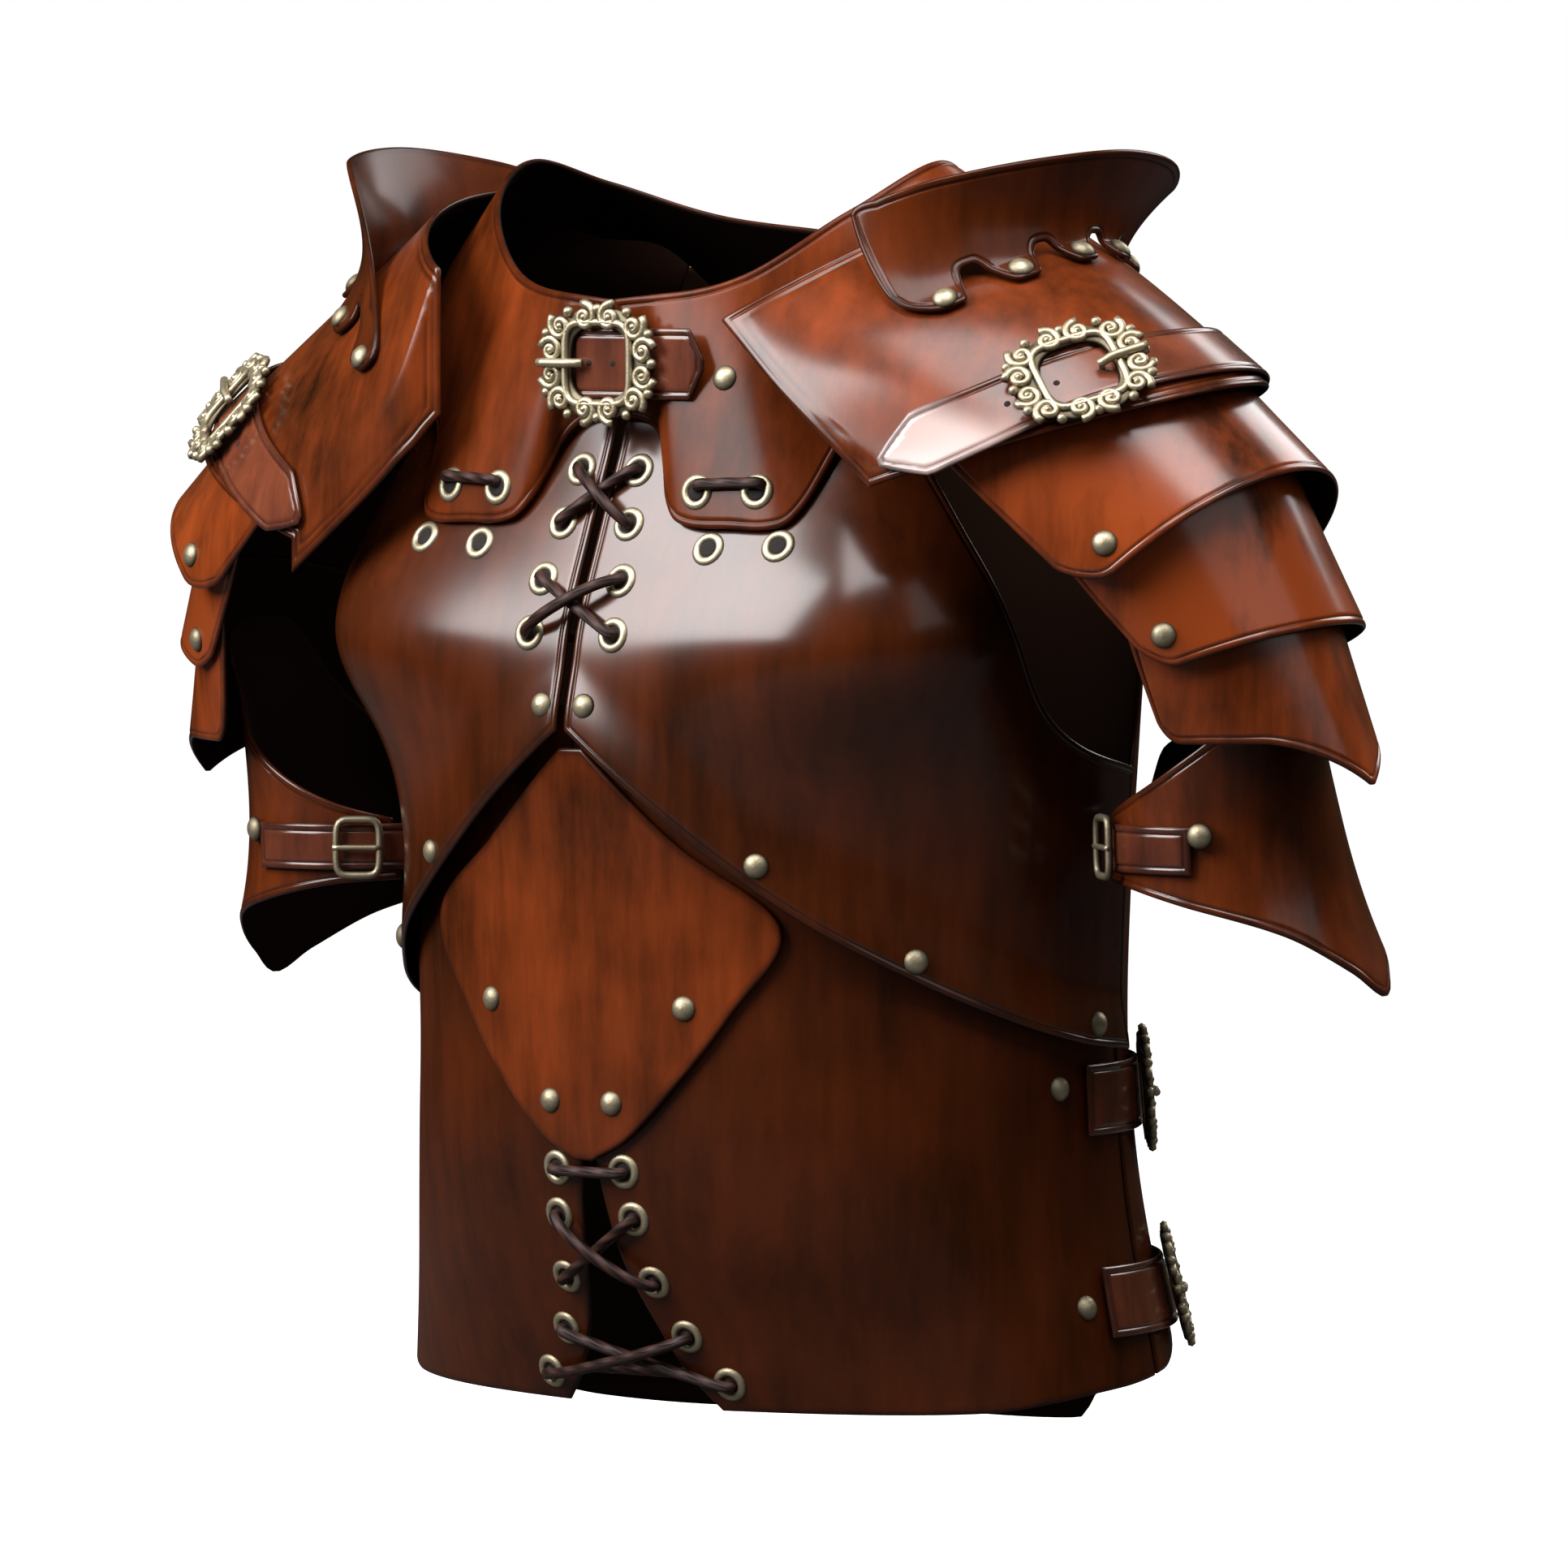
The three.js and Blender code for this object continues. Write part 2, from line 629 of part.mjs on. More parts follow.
function gorgetRim(turn) {
  const angle = radians(turn);
  const depth = Math.cos(angle) > 0 ? NECK.front : NECK.back;
  return new THREE.Vector3(
    NECK.halfWidth * Math.sin(angle),
    NECK.y - depth * Math.cos(angle),
    lookUp(NECK_RIM, "turn", "z", fromFront(turn)),
  );
}

function gorgetSurface(a, b) {
  const rim = gorgetRim(a);
  const hem = gorgetHem(a);
  const spread = b + lookUp(GORGET_HEM, "turn", "ease", fromFront(a)) * b * (1 - b);
  return new THREE.Vector3(mix(rim.x, hem.x, spread), mix(rim.y, hem.y, spread), mix(rim.z, hem.z, b));
}

function gorget() {
  const columns = [...GORGET_TURNS, ...GORGET_TURNS.slice(0, -1).reverse().map((turn) => 360 - turn)];
  const place = (u, v) => [u, v * lookUp(GORGET_REACH, "turn", "share", fromFront(u))];
  const shell = plate({ surface: gorgetSurface, columns, rows: steps(5), place, lift: 0 });
  const holes = [-1, 1].flatMap((side) =>
    [TAB_EYELETS.inner, TAB_EYELETS.outer].map((x) => {
      const { point, normal } = tabEyelet(side * x);
      return { point: point.addScaledVector(normal, LAYER), normal };
    }),
  );
  return bored(shell, holes);
}

// Short lace that ties a tab of the gorget to the breast plate behind it
function tabLace(side) {
  const ends = [TAB_EYELETS.inner, TAB_EYELETS.outer].map((x) => tabEyelet(side * x));
  const reach = [-1, 1].map((step) => (step > 0 ? 2 * LAYER + 1 : PLATE / 2) + LACE_ROUND / 2 + 1);
  const [behind, before] = reach;
  const points = [];
  const run = (from, to, depth) =>
    [0, 0.25, 0.5, 0.75, 1].forEach((t) => {
      const normal = from.normal.clone().lerp(to.normal, t).normalize();
      const bulge = depth + Math.sign(depth) * 0.9 * Math.sin(Math.PI * t);
      points.push(from.point.clone().lerp(to.point, t).addScaledVector(normal, bulge));
    });
  run(ends[0], ends[1], before);
  points.push(ends[1].point.clone());
  run(ends[1], ends[0], -behind);
  points.push(ends[0].point.clone());
  return laceLoop(points);
}

// Front of the collar where the strap lies: a = distance from the middle, b = height
const collarFront = (a, b) => new THREE.Vector3(a, (a * a) / (2 * GORGET_STRAP.bend) - GORGET_STRAP.stand, b);
const gorgetStrapPath = (t) => [mix(GORGET_STRAP.from, GORGET_STRAP.to, t), GORGET_STRAP.z];
const gorgetStrap = () =>
  strapAlong({ surface: collarFront, path: gorgetStrapPath, count: 12, pointed: true, lift: 0 });
function gorgetBuckle() {
  const at = (GORGET_STRAP.buckle - GORGET_STRAP.from) / (GORGET_STRAP.to - GORGET_STRAP.from);
  const place = standing(collarFront, fromAxis, gorgetStrapPath, at, STRAP + SEAT);
  return buckleFrame(BUCKLE, 20).applyMatrix4(place);
}

// Side straps join the belly plates to the back plate
const sideStrapPath = (z) => (t) => [mix(SIDE_STRAP.from, SIDE_STRAP.to, t), z];
const sideStrap = (z) =>
  strapAlong({ surface: torso, path: sideStrapPath(z), count: 12, lift: LAYER + SIDE_STRAP.lift });
function sideBuckle(z) {
  const at = (SIDE_STRAP.buckle - SIDE_STRAP.from) / (SIDE_STRAP.to - SIDE_STRAP.from);
  const lift = LAYER + SIDE_STRAP.lift + STRAP + SEAT;
  return buckleFrame(BUCKLE, 20).applyMatrix4(standing(torso, fromAxis, sideStrapPath(z), at, lift));
}

// Shoulder plates: half rings; a = turn from the outside (negative to the front), b = 0 upper, 1 lower
function ringPoint(ring, turn) {
  const angle = radians(turn);
  const middle = (ring.front + ring.back) / 2;
  const reach = (ring.back - ring.front) / 2;
  const cosine = Math.cos(angle);
  const crown = Math.sign(cosine) * Math.abs(cosine) ** (1 + ring.peak);
  return new THREE.Vector3(
    mix(ring.endX, ring.outX, crown),
    middle + reach * Math.sin(angle),
    mix(ring.endZ, ring.outZ, crown) + ring.tilt * Math.sin(angle),
  );
}

const ringBetween = (from, to, t) =>
  Object.fromEntries(RING_COLUMNS.map((column) => [column, mix(from[column], to[column], t)]));

const capRing = (side) => (at) =>
  Object.fromEntries(RING_COLUMNS.map((column) => [column, lookUp(SHOULDER_CAP[side], "at", column, at)]));

// Ring inside another one, clear of its wall
const ringInside = (ring, gap) => ({
  ...ring,
  outX: ring.outX - gap * 0.8,
  outZ: ring.outZ - gap * 0.6,
  front: ring.front + gap,
  back: ring.back - 1.3 * gap,
});

// Upper and lower ring of every lame; each begins under the plate above it
function lameRings(side) {
  const rings = {};
  const drop = side === "right" ? RIGHT_DROP : 0;
  Object.entries(LAMES).reduce((above, [name, form]) => {
    const upper = ringInside(above(name === "lame_2" ? CAP_TUCK : LAME_TUCK), LAYER + 0.5);
    const lower = { ...form.lower, outZ: form.lower.outZ - drop, endZ: form.lower.endZ - drop };
    rings[name] = { upper, lower };
    return (at) => ringBetween(upper, lower, at);
  }, capRing(side));
  return rings;
}
const LAME_RINGS = { left: lameRings("left"), right: lameRings("right") };

const fromArm = (p) => new THREE.Vector3(p.x - 120, p.y + 15, p.z + 140);
const fromSleeve = (p) => new THREE.Vector3(p.x - 213, p.y - 18, 0);

const capSurface = (side) => (a, b) => ringPoint(capRing(side)(b), a);
const lameSurface = (name, side) => (a, b) => {
  const { upper, lower } = LAME_RINGS[side][name];
  return ringPoint(upper, a).lerp(ringPoint(lower, a), b);
};

// Sleeve of the arm guard; its top flares out to lie inside the lowest lame
function armSurface(side) {
  const drop = side === "right" ? RIGHT_DROP : 0;
  const section = (column, b) => lookUp(ARM_SECTIONS, "z", column, b);
  const seat = lameSurface("lame_4", side)(0, ARM_GUARD_SEAT.at);
  const seatZ = seat.z + drop;
  const aside = new THREE.Vector2(seat.x - section("x", seatZ), seat.y - section("y", seatZ));
  const flare = aside.length() - section("radius", seatZ) - PLATE - ARM_GUARD_SEAT.spare;
  const seatTurn = THREE.MathUtils.radToDeg(aside.angle());
  return (a, b) => {
    const turn = THREE.MathUtils.euclideanModulo(a - seatTurn + 180, 360) - 180;
    const near = Math.exp(-((turn / ARM_GUARD_SEAT.spread) ** 2));
    const radius = section("radius", b) + flare * near * smooth(seatZ - ARM_GUARD_SEAT.fade, seatZ, b);
    return new THREE.Vector3(
      section("x", b) + radius * Math.cos(radians(a)),
      section("y", b) + radius * Math.sin(radians(a)),
      b,
    );
  };
}

function shoulderCap(side) {
  const place = (u, v) => [mix(CAP_WRAP.front, CAP_WRAP.back, u), v];
  return plate({ surface: capSurface(side), out: fromArm, columns: steps(14), rows: steps(6), place, lift: 0 });
}

function lame(name, side) {
  const form = LAMES[name];
  const place = (u, v) => {
    const wrap = mix(form.wrapUpper, form.wrapLower, v);
    const turn = mix(-wrap, wrap, u);
    const point = form.tip * Math.max(0, 1 - Math.abs(turn) / 40) ** 1.6;
    return [turn, v * (1 + point)];
  };
  const columns = steps(form.tip ? 15 : 11);
  return plate({ surface: lameSurface(name, side), out: fromArm, columns, rows: steps(4), place, lift: 0 });
}

function armGuard(side) {
  const place = (u, v) => {
    const away = mix(-ARM_GUARD_WRAP, ARM_GUARD_WRAP, u);
    const top = lookUp(ARM_GUARD_EDGES, "away", "top", away);
    const bottom = lookUp(ARM_GUARD_EDGES, "away", "bottom", away);
    return [ARM_GUARD_TIP + away, mix(bottom, top, v)];
  };
  const surface = armSurface(side);
  return plate({ surface, out: fromSleeve, columns: steps(19), rows: steps(6), place, lift: 0 });
}

// Neck guard: a = 0 front to 1 back, b = 0 at the tabs to 1 at the top edge
const neckGuardSurface = (side) => (a, b) => {
  const { seat, waist, top } = NECK_GUARD;
  const low = lifted(capSurface(side), mix(seat.front, seat.back, a), seat.at, LAYER - 0.05, fromArm).point;
  const waistTurn = radians(mix(waist.front, waist.back, a));
  const middle = new THREE.Vector3(
    waist.x + waist.out * Math.cos(waistTurn),
    waist.y + waist.reach * Math.sin(waistTurn),
    low.z + waist.rise,
  );
  const topTurn = mix(top.front, top.back, a);
  const high = new THREE.Vector3(
    top.x + top.out * Math.cos(radians(topTurn)),
    top.y + top.reach * Math.sin(radians(topTurn)),
    lookUp(NECK_GUARD_TOP, "turn", "z", topTurn),
  );
  const c = 1 - b;
  return low.multiplyScalar(c * c).addScaledVector(middle, 2 * b * c).addScaledVector(high, b * b);
};
const fromNeck = (p) => new THREE.Vector3(p.x - 60, p.y, 0);

function neckGuard(side) {
  const surface = neckGuardSurface(side);
  const place = (u, v) => [u, v];
  return plate({ surface, out: fromNeck, columns: steps(13), rows: steps(5), place, lift: 0 });
}

const shoulderStrapPath = (t) => {
  const turn = mix(44, -88, t);
  return [turn, lookUp(SHOULDER_STRAP, "turn", "at", turn)];
};
function shoulderStrap(side) {
  const surface = capSurface(side);
  return strapAlong({ surface, out: fromArm, path: shoulderStrapPath, count: 18, pointed: true, lift: LAYER });
}
function shoulderBuckle(side) {
  const at = (44 - SHOULDER_BUCKLE_TURN) / (44 + 88);
  const lift = LAYER + STRAP + SEAT;
  return buckleFrame(BUCKLE, 20).applyMatrix4(standing(capSurface(side), fromArm, shoulderStrapPath, at, lift));
}

// Arm strap: closes the arm guard on the inside of the arm
const armStrapPath = (t) => [mix(ARM_STRAP.from, ARM_STRAP.to, t), ARM_STRAP.z];
const armStrap = (side) =>
  strapAlong({
    surface: armSurface(side),
    out: fromSleeve,
    path: armStrapPath,
    count: 13,
    width: ARM_STRAP.width,
    lift: LAYER,
  });
function armBuckle(side) {
  const at = (ARM_STRAP.buckle - ARM_STRAP.from) / (ARM_STRAP.to - ARM_STRAP.from);
  const lift = LAYER + STRAP + SEAT;
  const place = standing(armSurface(side), fromSleeve, armStrapPath, at, lift);
  return buckleFrame(ARM_BUCKLE, 16).applyMatrix4(place);
}

function shoulder(label) {
  const group = new THREE.Group();
  const drop = label === "right" ? RIGHT_DROP : 0;
  group.add(
    named(`shoulder_cap_${label}`, shoulderCap(label), "leather"),
    named(`neck_guard_${label}`, neckGuard(label), "leather"),
    named(`arm_guard_${label}`, armGuard(label).translate(0, 0, -drop), "leather"),
  );
  Object.keys(LAMES).forEach((key) => group.add(named(`${key}_${label}`, lame(key, label), "leather")));
  group.add(
    named(`shoulder_strap_${label}`, shoulderStrap(label), "strap"),
    named(`shoulder_buckle_${label}`, shoulderBuckle(label), "brass"),
    named(`arm_strap_${label}`, armStrap(label).translate(0, 0, -drop), "strap"),
    named(`arm_buckle_${label}`, armBuckle(label).translate(0, 0, -drop), "brass"),
  );
  Object.entries(SIDE_STRAPS).forEach(([level, z]) =>
    group.add(
      named(`side_strap_${level}_${label}`, sideStrap(z), "strap"),
      named(`side_buckle_${level}_${label}`, sideBuckle(z), "brass"),
    ),
  );
  group.scale.x = label === "left" ? 1 : -1;
  return group;
}

const armour = new THREE.Group();
armour.name = "chest_armour";
armour.add(
  named("breast_plate_left", breastPlate(1), "leather"),
  named("breast_plate_right", breastPlate(-1), "leather"),
  named("belly_plate_left", bellyPlate(1), "leather"),
  named("belly_plate_right", bellyPlate(-1), "leather"),
  named("stomacher", stomacher(), "leather"),
  named("back_plate", backPlate(), "leather"),
  named("gorget", gorget(), "leather"),
  named("gorget_strap", gorgetStrap(), "strap"),
  named("gorget_buckle", gorgetBuckle(), "brass"),
  named("breast_lace", breastLace(), "lace"),
  named("belly_lace", bellyLace(), "lace"),
  named("tab_lace_left", tabLace(1), "lace"),
  named("tab_lace_right", tabLace(-1), "lace"),
  shoulder("left"),
  shoulder("right"),
);

export default armour;
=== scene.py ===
"""Dresses the leather chest armour: waxed leather plates with rounded, tooled edges, scroll buckles of old
brass, eyelets, domed rivets and round laces, in soft studio light. Tables and sizes are in millimetres."""

import bpy
import numpy as np
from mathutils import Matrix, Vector


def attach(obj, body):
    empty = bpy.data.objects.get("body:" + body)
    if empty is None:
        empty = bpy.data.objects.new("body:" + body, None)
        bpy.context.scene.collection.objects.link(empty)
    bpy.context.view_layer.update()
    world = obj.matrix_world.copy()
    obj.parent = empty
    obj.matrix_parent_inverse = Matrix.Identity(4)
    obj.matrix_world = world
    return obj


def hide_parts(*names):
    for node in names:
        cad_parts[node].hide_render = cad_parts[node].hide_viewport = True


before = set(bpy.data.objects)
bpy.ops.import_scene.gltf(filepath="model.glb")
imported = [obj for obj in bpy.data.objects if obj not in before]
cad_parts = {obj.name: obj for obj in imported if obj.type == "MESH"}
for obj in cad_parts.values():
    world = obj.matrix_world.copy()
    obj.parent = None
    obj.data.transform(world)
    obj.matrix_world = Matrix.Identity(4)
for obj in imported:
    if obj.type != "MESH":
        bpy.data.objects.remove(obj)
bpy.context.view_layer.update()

# Driving dimensions
MM = 0.001
PLATE = 2.4
STRAP = 2.0
CLEAR = 0.9
SEAT = 0.5
LAYER = PLATE + CLEAR
LACE_ROUND = 4.4
STRAP_WIDTH = 27

# Length of one unit of the UV maps, radius of a closed tip, and directions of small shapes
UV_LENGTH = 100
TIP = 0.02
UPWARD = np.array([0, 0, 1.0])
ACROSS = np.array([0, 1.0, 0])

# How far off the torso surface the stomacher, the breast plates and the gorget lie
STOMACHER_LIFT = LAYER + 0.2
BREAST_LIFT = 2 * LAYER + 0.2
GORGET_LIFT = dict(front=3 * LAYER + 0.6, back=LAYER + 2.5, turns=(50, 110))


def columns(names, *rows):
    """Short table, kept as one array for each named column."""
    return dict(zip(names.split(), np.array(rows, float).T))


# Sections of the torso from the neck to the hem, and the rounded breasts
TORSO = columns(
    "z half front back",
    (30, 140, 66, 78), (-20, 151, 78, 92), (-60, 156, 86, 100), (-100, 158, 101, 104),
    (-140, 156, 115, 105), (-180, 152, 120, 107), (-230, 148, 117, 107), (-290, 146, 115, 107),
    (-335, 148, 112.5, 113), (-370, 152, 105, 121), (-400, 158, 92, 130), (-445, 166, 75, 142),
)
BUST = dict(turn=45, z=-137, depth=24, spread=17, above=36, below=26)

# Rim of the neck hole and hem of the gorget, by the turn from the front
NECK = dict(half=97, front=72, back=62, y=-27)
NECK_RIM = columns(
    "turn z", (0, -11), (30, -4), (60, 22), (90, 40), (120, 31), (150, 18), (180, 12),
)
GORGET_HEM = columns(
    "turn z ease",
    (0, -58, 0), (6, -61, 0), (9.5, -72, 0), (12, -91, 0), (14.5, -98, 0), (22, -99, 0), (29.5, -98, 0),
    (32, -91, 0), (36, -66, 0), (48, -44, 0), (70, -24, 0), (90, -16, 0), (110, -20, 0.2),
    (135, -42, 0.8), (160, -64, 0.9), (180, -68, 0.9),
)
GORGET_REACH = columns(
    "turn share",
    (0, 1), (46, 1), (62, 0.7), (80, 0.46), (100, 0.38), (120, 0.36), (136, 0.28), (150, 0.6), (162, 0.97),
    (180, 1),
)

# Edges of the torso plates: height by the turn from the front
BREAST_TOP = columns(
    "turn z", (0, -50), (30, -46), (44, -60), (58, -110), (72, -158), (84, -178), (103, -188),
)
BREAST_BOTTOM = columns(
    "turn z", (0, -172), (12, -196), (30, -232), (45, -255), (65, -277), (85, -291), (103, -296),
)
BREAST_GAP = 0.7
BREAST_STAND = dict(turns=(38, 58), off=3, share=0.22)
SIDE_TURN = 103
BELLY_OVERLAP = 26
BELLY_TOP = -164
BELLY_BOTTOM = columns("turn z", (0, -432), (50, -430), (65, -427), (80, -424), (92, -422.5), (103, -420.5))
BELLY_GAP = columns(
    "z turn", (-180, 0.7), (-330, 0.9), (-352, 2), (-376, 3.4), (-400, 6), (-418, 9), (-435, 14),
)
STOMACHER_HALF = columns(
    "z turn", (-180, 2), (-215, 17), (-246, 33), (-280, 25), (-310, 15), (-328, 7.5), (-336, 1.5),
)
STOMACHER_ENDS = (-336, -180)
BACK_TOP = columns(
    "turn z", (108, -188), (112, -152), (117, -104), (123, -66), (131, -24), (137, -4), (143, -6), (151, -50),
    (180, -58),
)
BACK_SIDE = 104.5
# The back hem rises to the left side and hangs lower from turn 165 on, round to the right
BACK_BOTTOM = columns(
    "turn z", (104.5, -420), (110, -418.5), (117, -414), (123, -409), (130, -412), (142, -427), (150, -433),
    (158, -439), (161.5, -443), (165, -452), (200, -454), (222, -454), (240, -449), (252, -441),
)

# Laced rows: distance from the middle and height
BREAST_EYELETS = columns("x z", (13.4, -79), (15.5, -99), (18.4, -120), (19.8, -139))
BELLY_EYELETS = columns("x z", (15.9, -340), (17.8, -358), (21, -382), (29, -403), (43, -421))
TAB_LACE = columns("x z", (47, -88), (71, -88))
TAB_EYELETS = columns("turn share", (18, 0.866), (27.4, 0.874))
FREE_EYELETS = columns("x z", (53, -108), (78.6, -107))

# Rivets: by turn and height on the torso, by turn and share of the way down on the lames and the gorget
BREAST_RIVETS = columns("turn z", (3.6, -164.5), (29.9, -221.6), (54, -258.3), (91, -285))
STOMACHER_RIVETS = columns("turn z", (18, -277), (5.6, -314))
SIDE_RIVETS = columns("turn z", (83, -309), (84, -392))
LAME_RIVETS = columns("turn at", (-67.5, 0.88), (-68.5, 0.82))
ARM_RIVET = (-67, -209)
GORGET_RIVET = (25.5, 0.391)

# Rings of the shoulder plates: the outermost point, the ends of the half ring, its reach to the front and
# to the back, how peaked its top is and how it tilts up to the back
RING = "outX outZ endX endZ front back peak tilt"
SHOULDER_CAP = dict(
    left=columns(
        "at " + RING,
        (0, 118, 25.4, 66, -3.6, -114, 60, 0.6, 14), (0.45, 178, -1, 104, -38, -122, 58, 0.6, 9),
        (1, 243, -43, 142, -72, -119, 52, 0.3, 6),
    ),
    right=columns(
        "at " + RING,
        (0, 118, 27.4, 72, 8.4, -114, 60, 0.6, 8), (0.45, 173, -13, 92, -43, -121, 58, 0.6, 10),
        (1, 239, -62, 142, -92, -118, 52, 0.3, 12),
    ),
)
CAP_WRAP = dict(left=(-94, 74), right=(-120, 74))
# How much lower than its half ring the right cap's front edge hangs
CAP_APRON = columns("at drop", (0, 56), (0.2, 41), (0.45, 25), (1, 13))
CAP_APRON_TURN = 30
# How much lower the lames and the arm guard are carried
DROP = dict(left=0, right=13)
LAME_TUCK = 0.6
LAME_GAP = LAYER + 0.5
LAME_POINT = dict(half=40, power=1.6)
LAME_CORNER = dict(share=0.12, depth=0.2)
CAP_TUCK = 0.8
LAMES = columns(
    RING + " wrapUpper wrapLower tip",
    (261, -74, 212, -118, -86, 44, 0, 4, 66, 84, 0),
    (270, -131, 226, -147, -64, 43, 0, 2, 74, 82, 0),
    (278, -174, 226, -174, -57, 45, 0.7, 0, 76, 80, 0.24),
)
LAME_NAMES = ("lame_2", "lame_3", "lame_4")

# Arm guard: sections of the sleeve, and its edges by the turn away from its lower point
ARM_SECTIONS = columns(
    "z x y radius",
    (-120, 212, -8, 37), (-150, 212, -8, 37), (-205, 212, 4, 41), (-240, 213, 10, 47), (-280, 215, 14, 60),
)
ARM_SEAT = dict(at=0.4, spare=1.7, spread=30, fade=34)
ARM_TIP = 10
ARM_WRAP = 158
ARM_EDGES = columns(
    "away top bottom",
    (-158, -204, -228), (-125, -197, -230), (-90, -184, -236), (-45, -160, -247), (-15, -130, -262),
    (0, -127, -271), (15, -130, -262), (45, -160, -247), (90, -182, -236), (125, -176, -230),
    (146, -180, -229), (158, -196, -228),
)

# Neck guard: its seat on the cap and its flared rim, each from front to back, and where its front edge is;
# the right one sits further round to the front
GUARD = dict(
    left=dict(seat=(-40, 42), rim=(-78, 54), front=-0.07),
    right=dict(seat=(-67, 42), rim=(-41, 54), front=-0.03),
)
GUARD_AT = 0.34
GUARD_DRAWN = dict(share=0.45, inward=9)
GUARD_TOP = dict(x=105, out=71, y=-10, reach=83)
GUARD_RIM = columns("turn z", (-78, 27), (-60, 35), (-30, 43), (0, 46), (30, 41), (54, 32))
GUARD_TABS = (0.04, 0.26, 0.48, 0.7, 0.92)
GUARD_ARCHES = (0.15, 0.37, 0.59, 0.81)
GUARD_ARCH = dict(half=0.056, low=-0.95, high=0.1)
GUARD_TAB_REACH = 0.085
GUARD_BEND = 0.14
GUARD_LIFT = LAYER - 0.05
GUARD_END = dict(start=0.03, low=0.12, top=0.84)
GUARD_LEVEL = dict(share=0.4, height=0.3)
GUARD_RIVET = -0.5

# Straps and buckles
SHOULDER_STRAP = columns("turn at", (-88, 0.92), (-58, 0.88), (-32, 0.84), (0, 0.86), (44, 0.88))
SHOULDER_BUCKLE_TURN = -32
SHOULDER_STRAP_ENDS = dict(left=(44, -81), right=(44, -89))
SHOULDER_STRAP_LENGTH = 175
GORGET_STRAP = dict(start=-14, end=48, z=-35, stand=106.8, bend=400, buckle=2)
SIDE_STRAPS = dict(upper=-314, lower=-391)
SIDE_STRAP = dict(start=89, end=134, buckle=121, lift=0.75, length=120)
ARM_STRAP = dict(start=146, end=288, z=-215, width=18, buckle=232, length=106)
SHOULDER_HOLES = (-27, -37, -48)
GORGET_HOLES = (0.16, 0.34, 0.6)
BUCKLE = dict(length=58, width=47, opening=27)
ARM_BUCKLE = dict(length=20, width=25)
BUCKLE_RELIEF = 3.4
VOLUTES = dict(count=12, radius=5.4, turns=1.5, eye=1.5)
STRAP_POINT = dict(start=0.9, blunt=0.12)

# Camera of the photograph
VIEW = dict(azimuth=38, elevation=3, distance=5000, lens=298.1, height=-198.75, aside=3.44)

# Studio: the floor, the strength of the dim surroundings that the leather sees, and the soft boxes, by how
# far they stand to the camera's right, towards the camera and up, in metres, and by width, height and power
FLOOR_Z = -560
FLOOR_SIZE = 80
SURROUNDINGS = 0.03
LIGHTS = columns(
    "right near up wide tall power",
    (-1.5, 0.68, 0.9, 1.15, 1.25, 62), (0.1, 0.9, 1.6, 1.7, 1.1, 50), (1.5, 1.3, 1.1, 1.9, 1.7, 8),
    (1.3, -1.2, 1.0, 1.0, 1.0, 16),
)
LIGHTS_AIM = (0, 0, -0.15)


# Curves and surfaces
def follow(table, key, column, at):
    """Cubic curve through the rows of a table: each stretch is the Hermite cubic whose end slopes are the
    slopes between the neighbouring rows."""
    keys, values = table[key], table[column]
    if keys[-1] < keys[0]:
        keys, values = keys[::-1], values[::-1]
    ahead = np.minimum(np.arange(len(keys)) + 1, len(keys) - 1)
    behind = np.maximum(np.arange(len(keys)) - 1, 0)
    slopes = (values[ahead] - values[behind]) / (keys[ahead] - keys[behind])
    at = np.clip(at, keys[0], keys[-1])
    row = np.clip(np.searchsorted(keys, at, side="right") - 1, 0, len(keys) - 2)
    span = keys[row + 1] - keys[row]
    t = (at - keys[row]) / span
    start = values[row] * (2 * t**3 - 3 * t**2 + 1) + slopes[row] * span * (t**3 - 2 * t**2 + t)
    return start + values[row + 1] * (3 * t**2 - 2 * t**3) + slopes[row + 1] * span * (t**3 - t**2)


def mix(a, b, t):
    return a + (b - a) * t


def smooth(start, end, x):
    t = np.clip((x - start) / (end - start), 0, 1)
    return t * t * (3 - 2 * t)


def unit(vectors):
    return vectors / np.maximum(np.linalg.norm(vectors, axis=-1, keepdims=True), 1e-9)


def joined(*parts):
    """Points from arrays of x, y and z of any fitting shapes."""
    return np.stack(np.broadcast_arrays(*parts), -1)


def torso(turn, z):
    """Elliptic sections by height, with a bell-shaped swelling on each side for the breasts."""
    sine, cosine = np.sin(np.radians(turn)), np.cos(np.radians(turn))
    depth = np.where(cosine > 0, follow(TORSO, "z", "front", z), follow(TORSO, "z", "back", z))
    rise = (z - BUST["z"]) / np.where(z > BUST["z"], BUST["above"], BUST["below"])
    aside = [(turn - side * BUST["turn"]) / BUST["spread"] for side in (-1, 1)]
    swell = BUST["depth"] * sum(np.exp(-0.5 * (off**2 + rise**2)) for off in aside)
    return joined((follow(TORSO, "z", "half", z) + swell) * sine, -(depth + swell) * cosine, z)


# Directions that count as outward, each away from a point or from an upright line inside the plate
LEVEL = np.array([1, 1, 0])
ARM_MIDDLE = np.array([120, -15, -140])
SLEEVE_MIDDLE = np.array([213, 18, 0])
NECK_SIDE = np.array([60, 0, 0])


def from_axis(points):
    return points * LEVEL


def from_arm(points):
    return points - ARM_MIDDLE


def from_sleeve(points):
    return (points - SLEEVE_MIDDLE) * LEVEL


def from_neck(points):
    """Away from the neck and, low down on the cap, upward."""
    return (points - NECK_SIDE) * LEVEL + np.array([0, 0, 30])


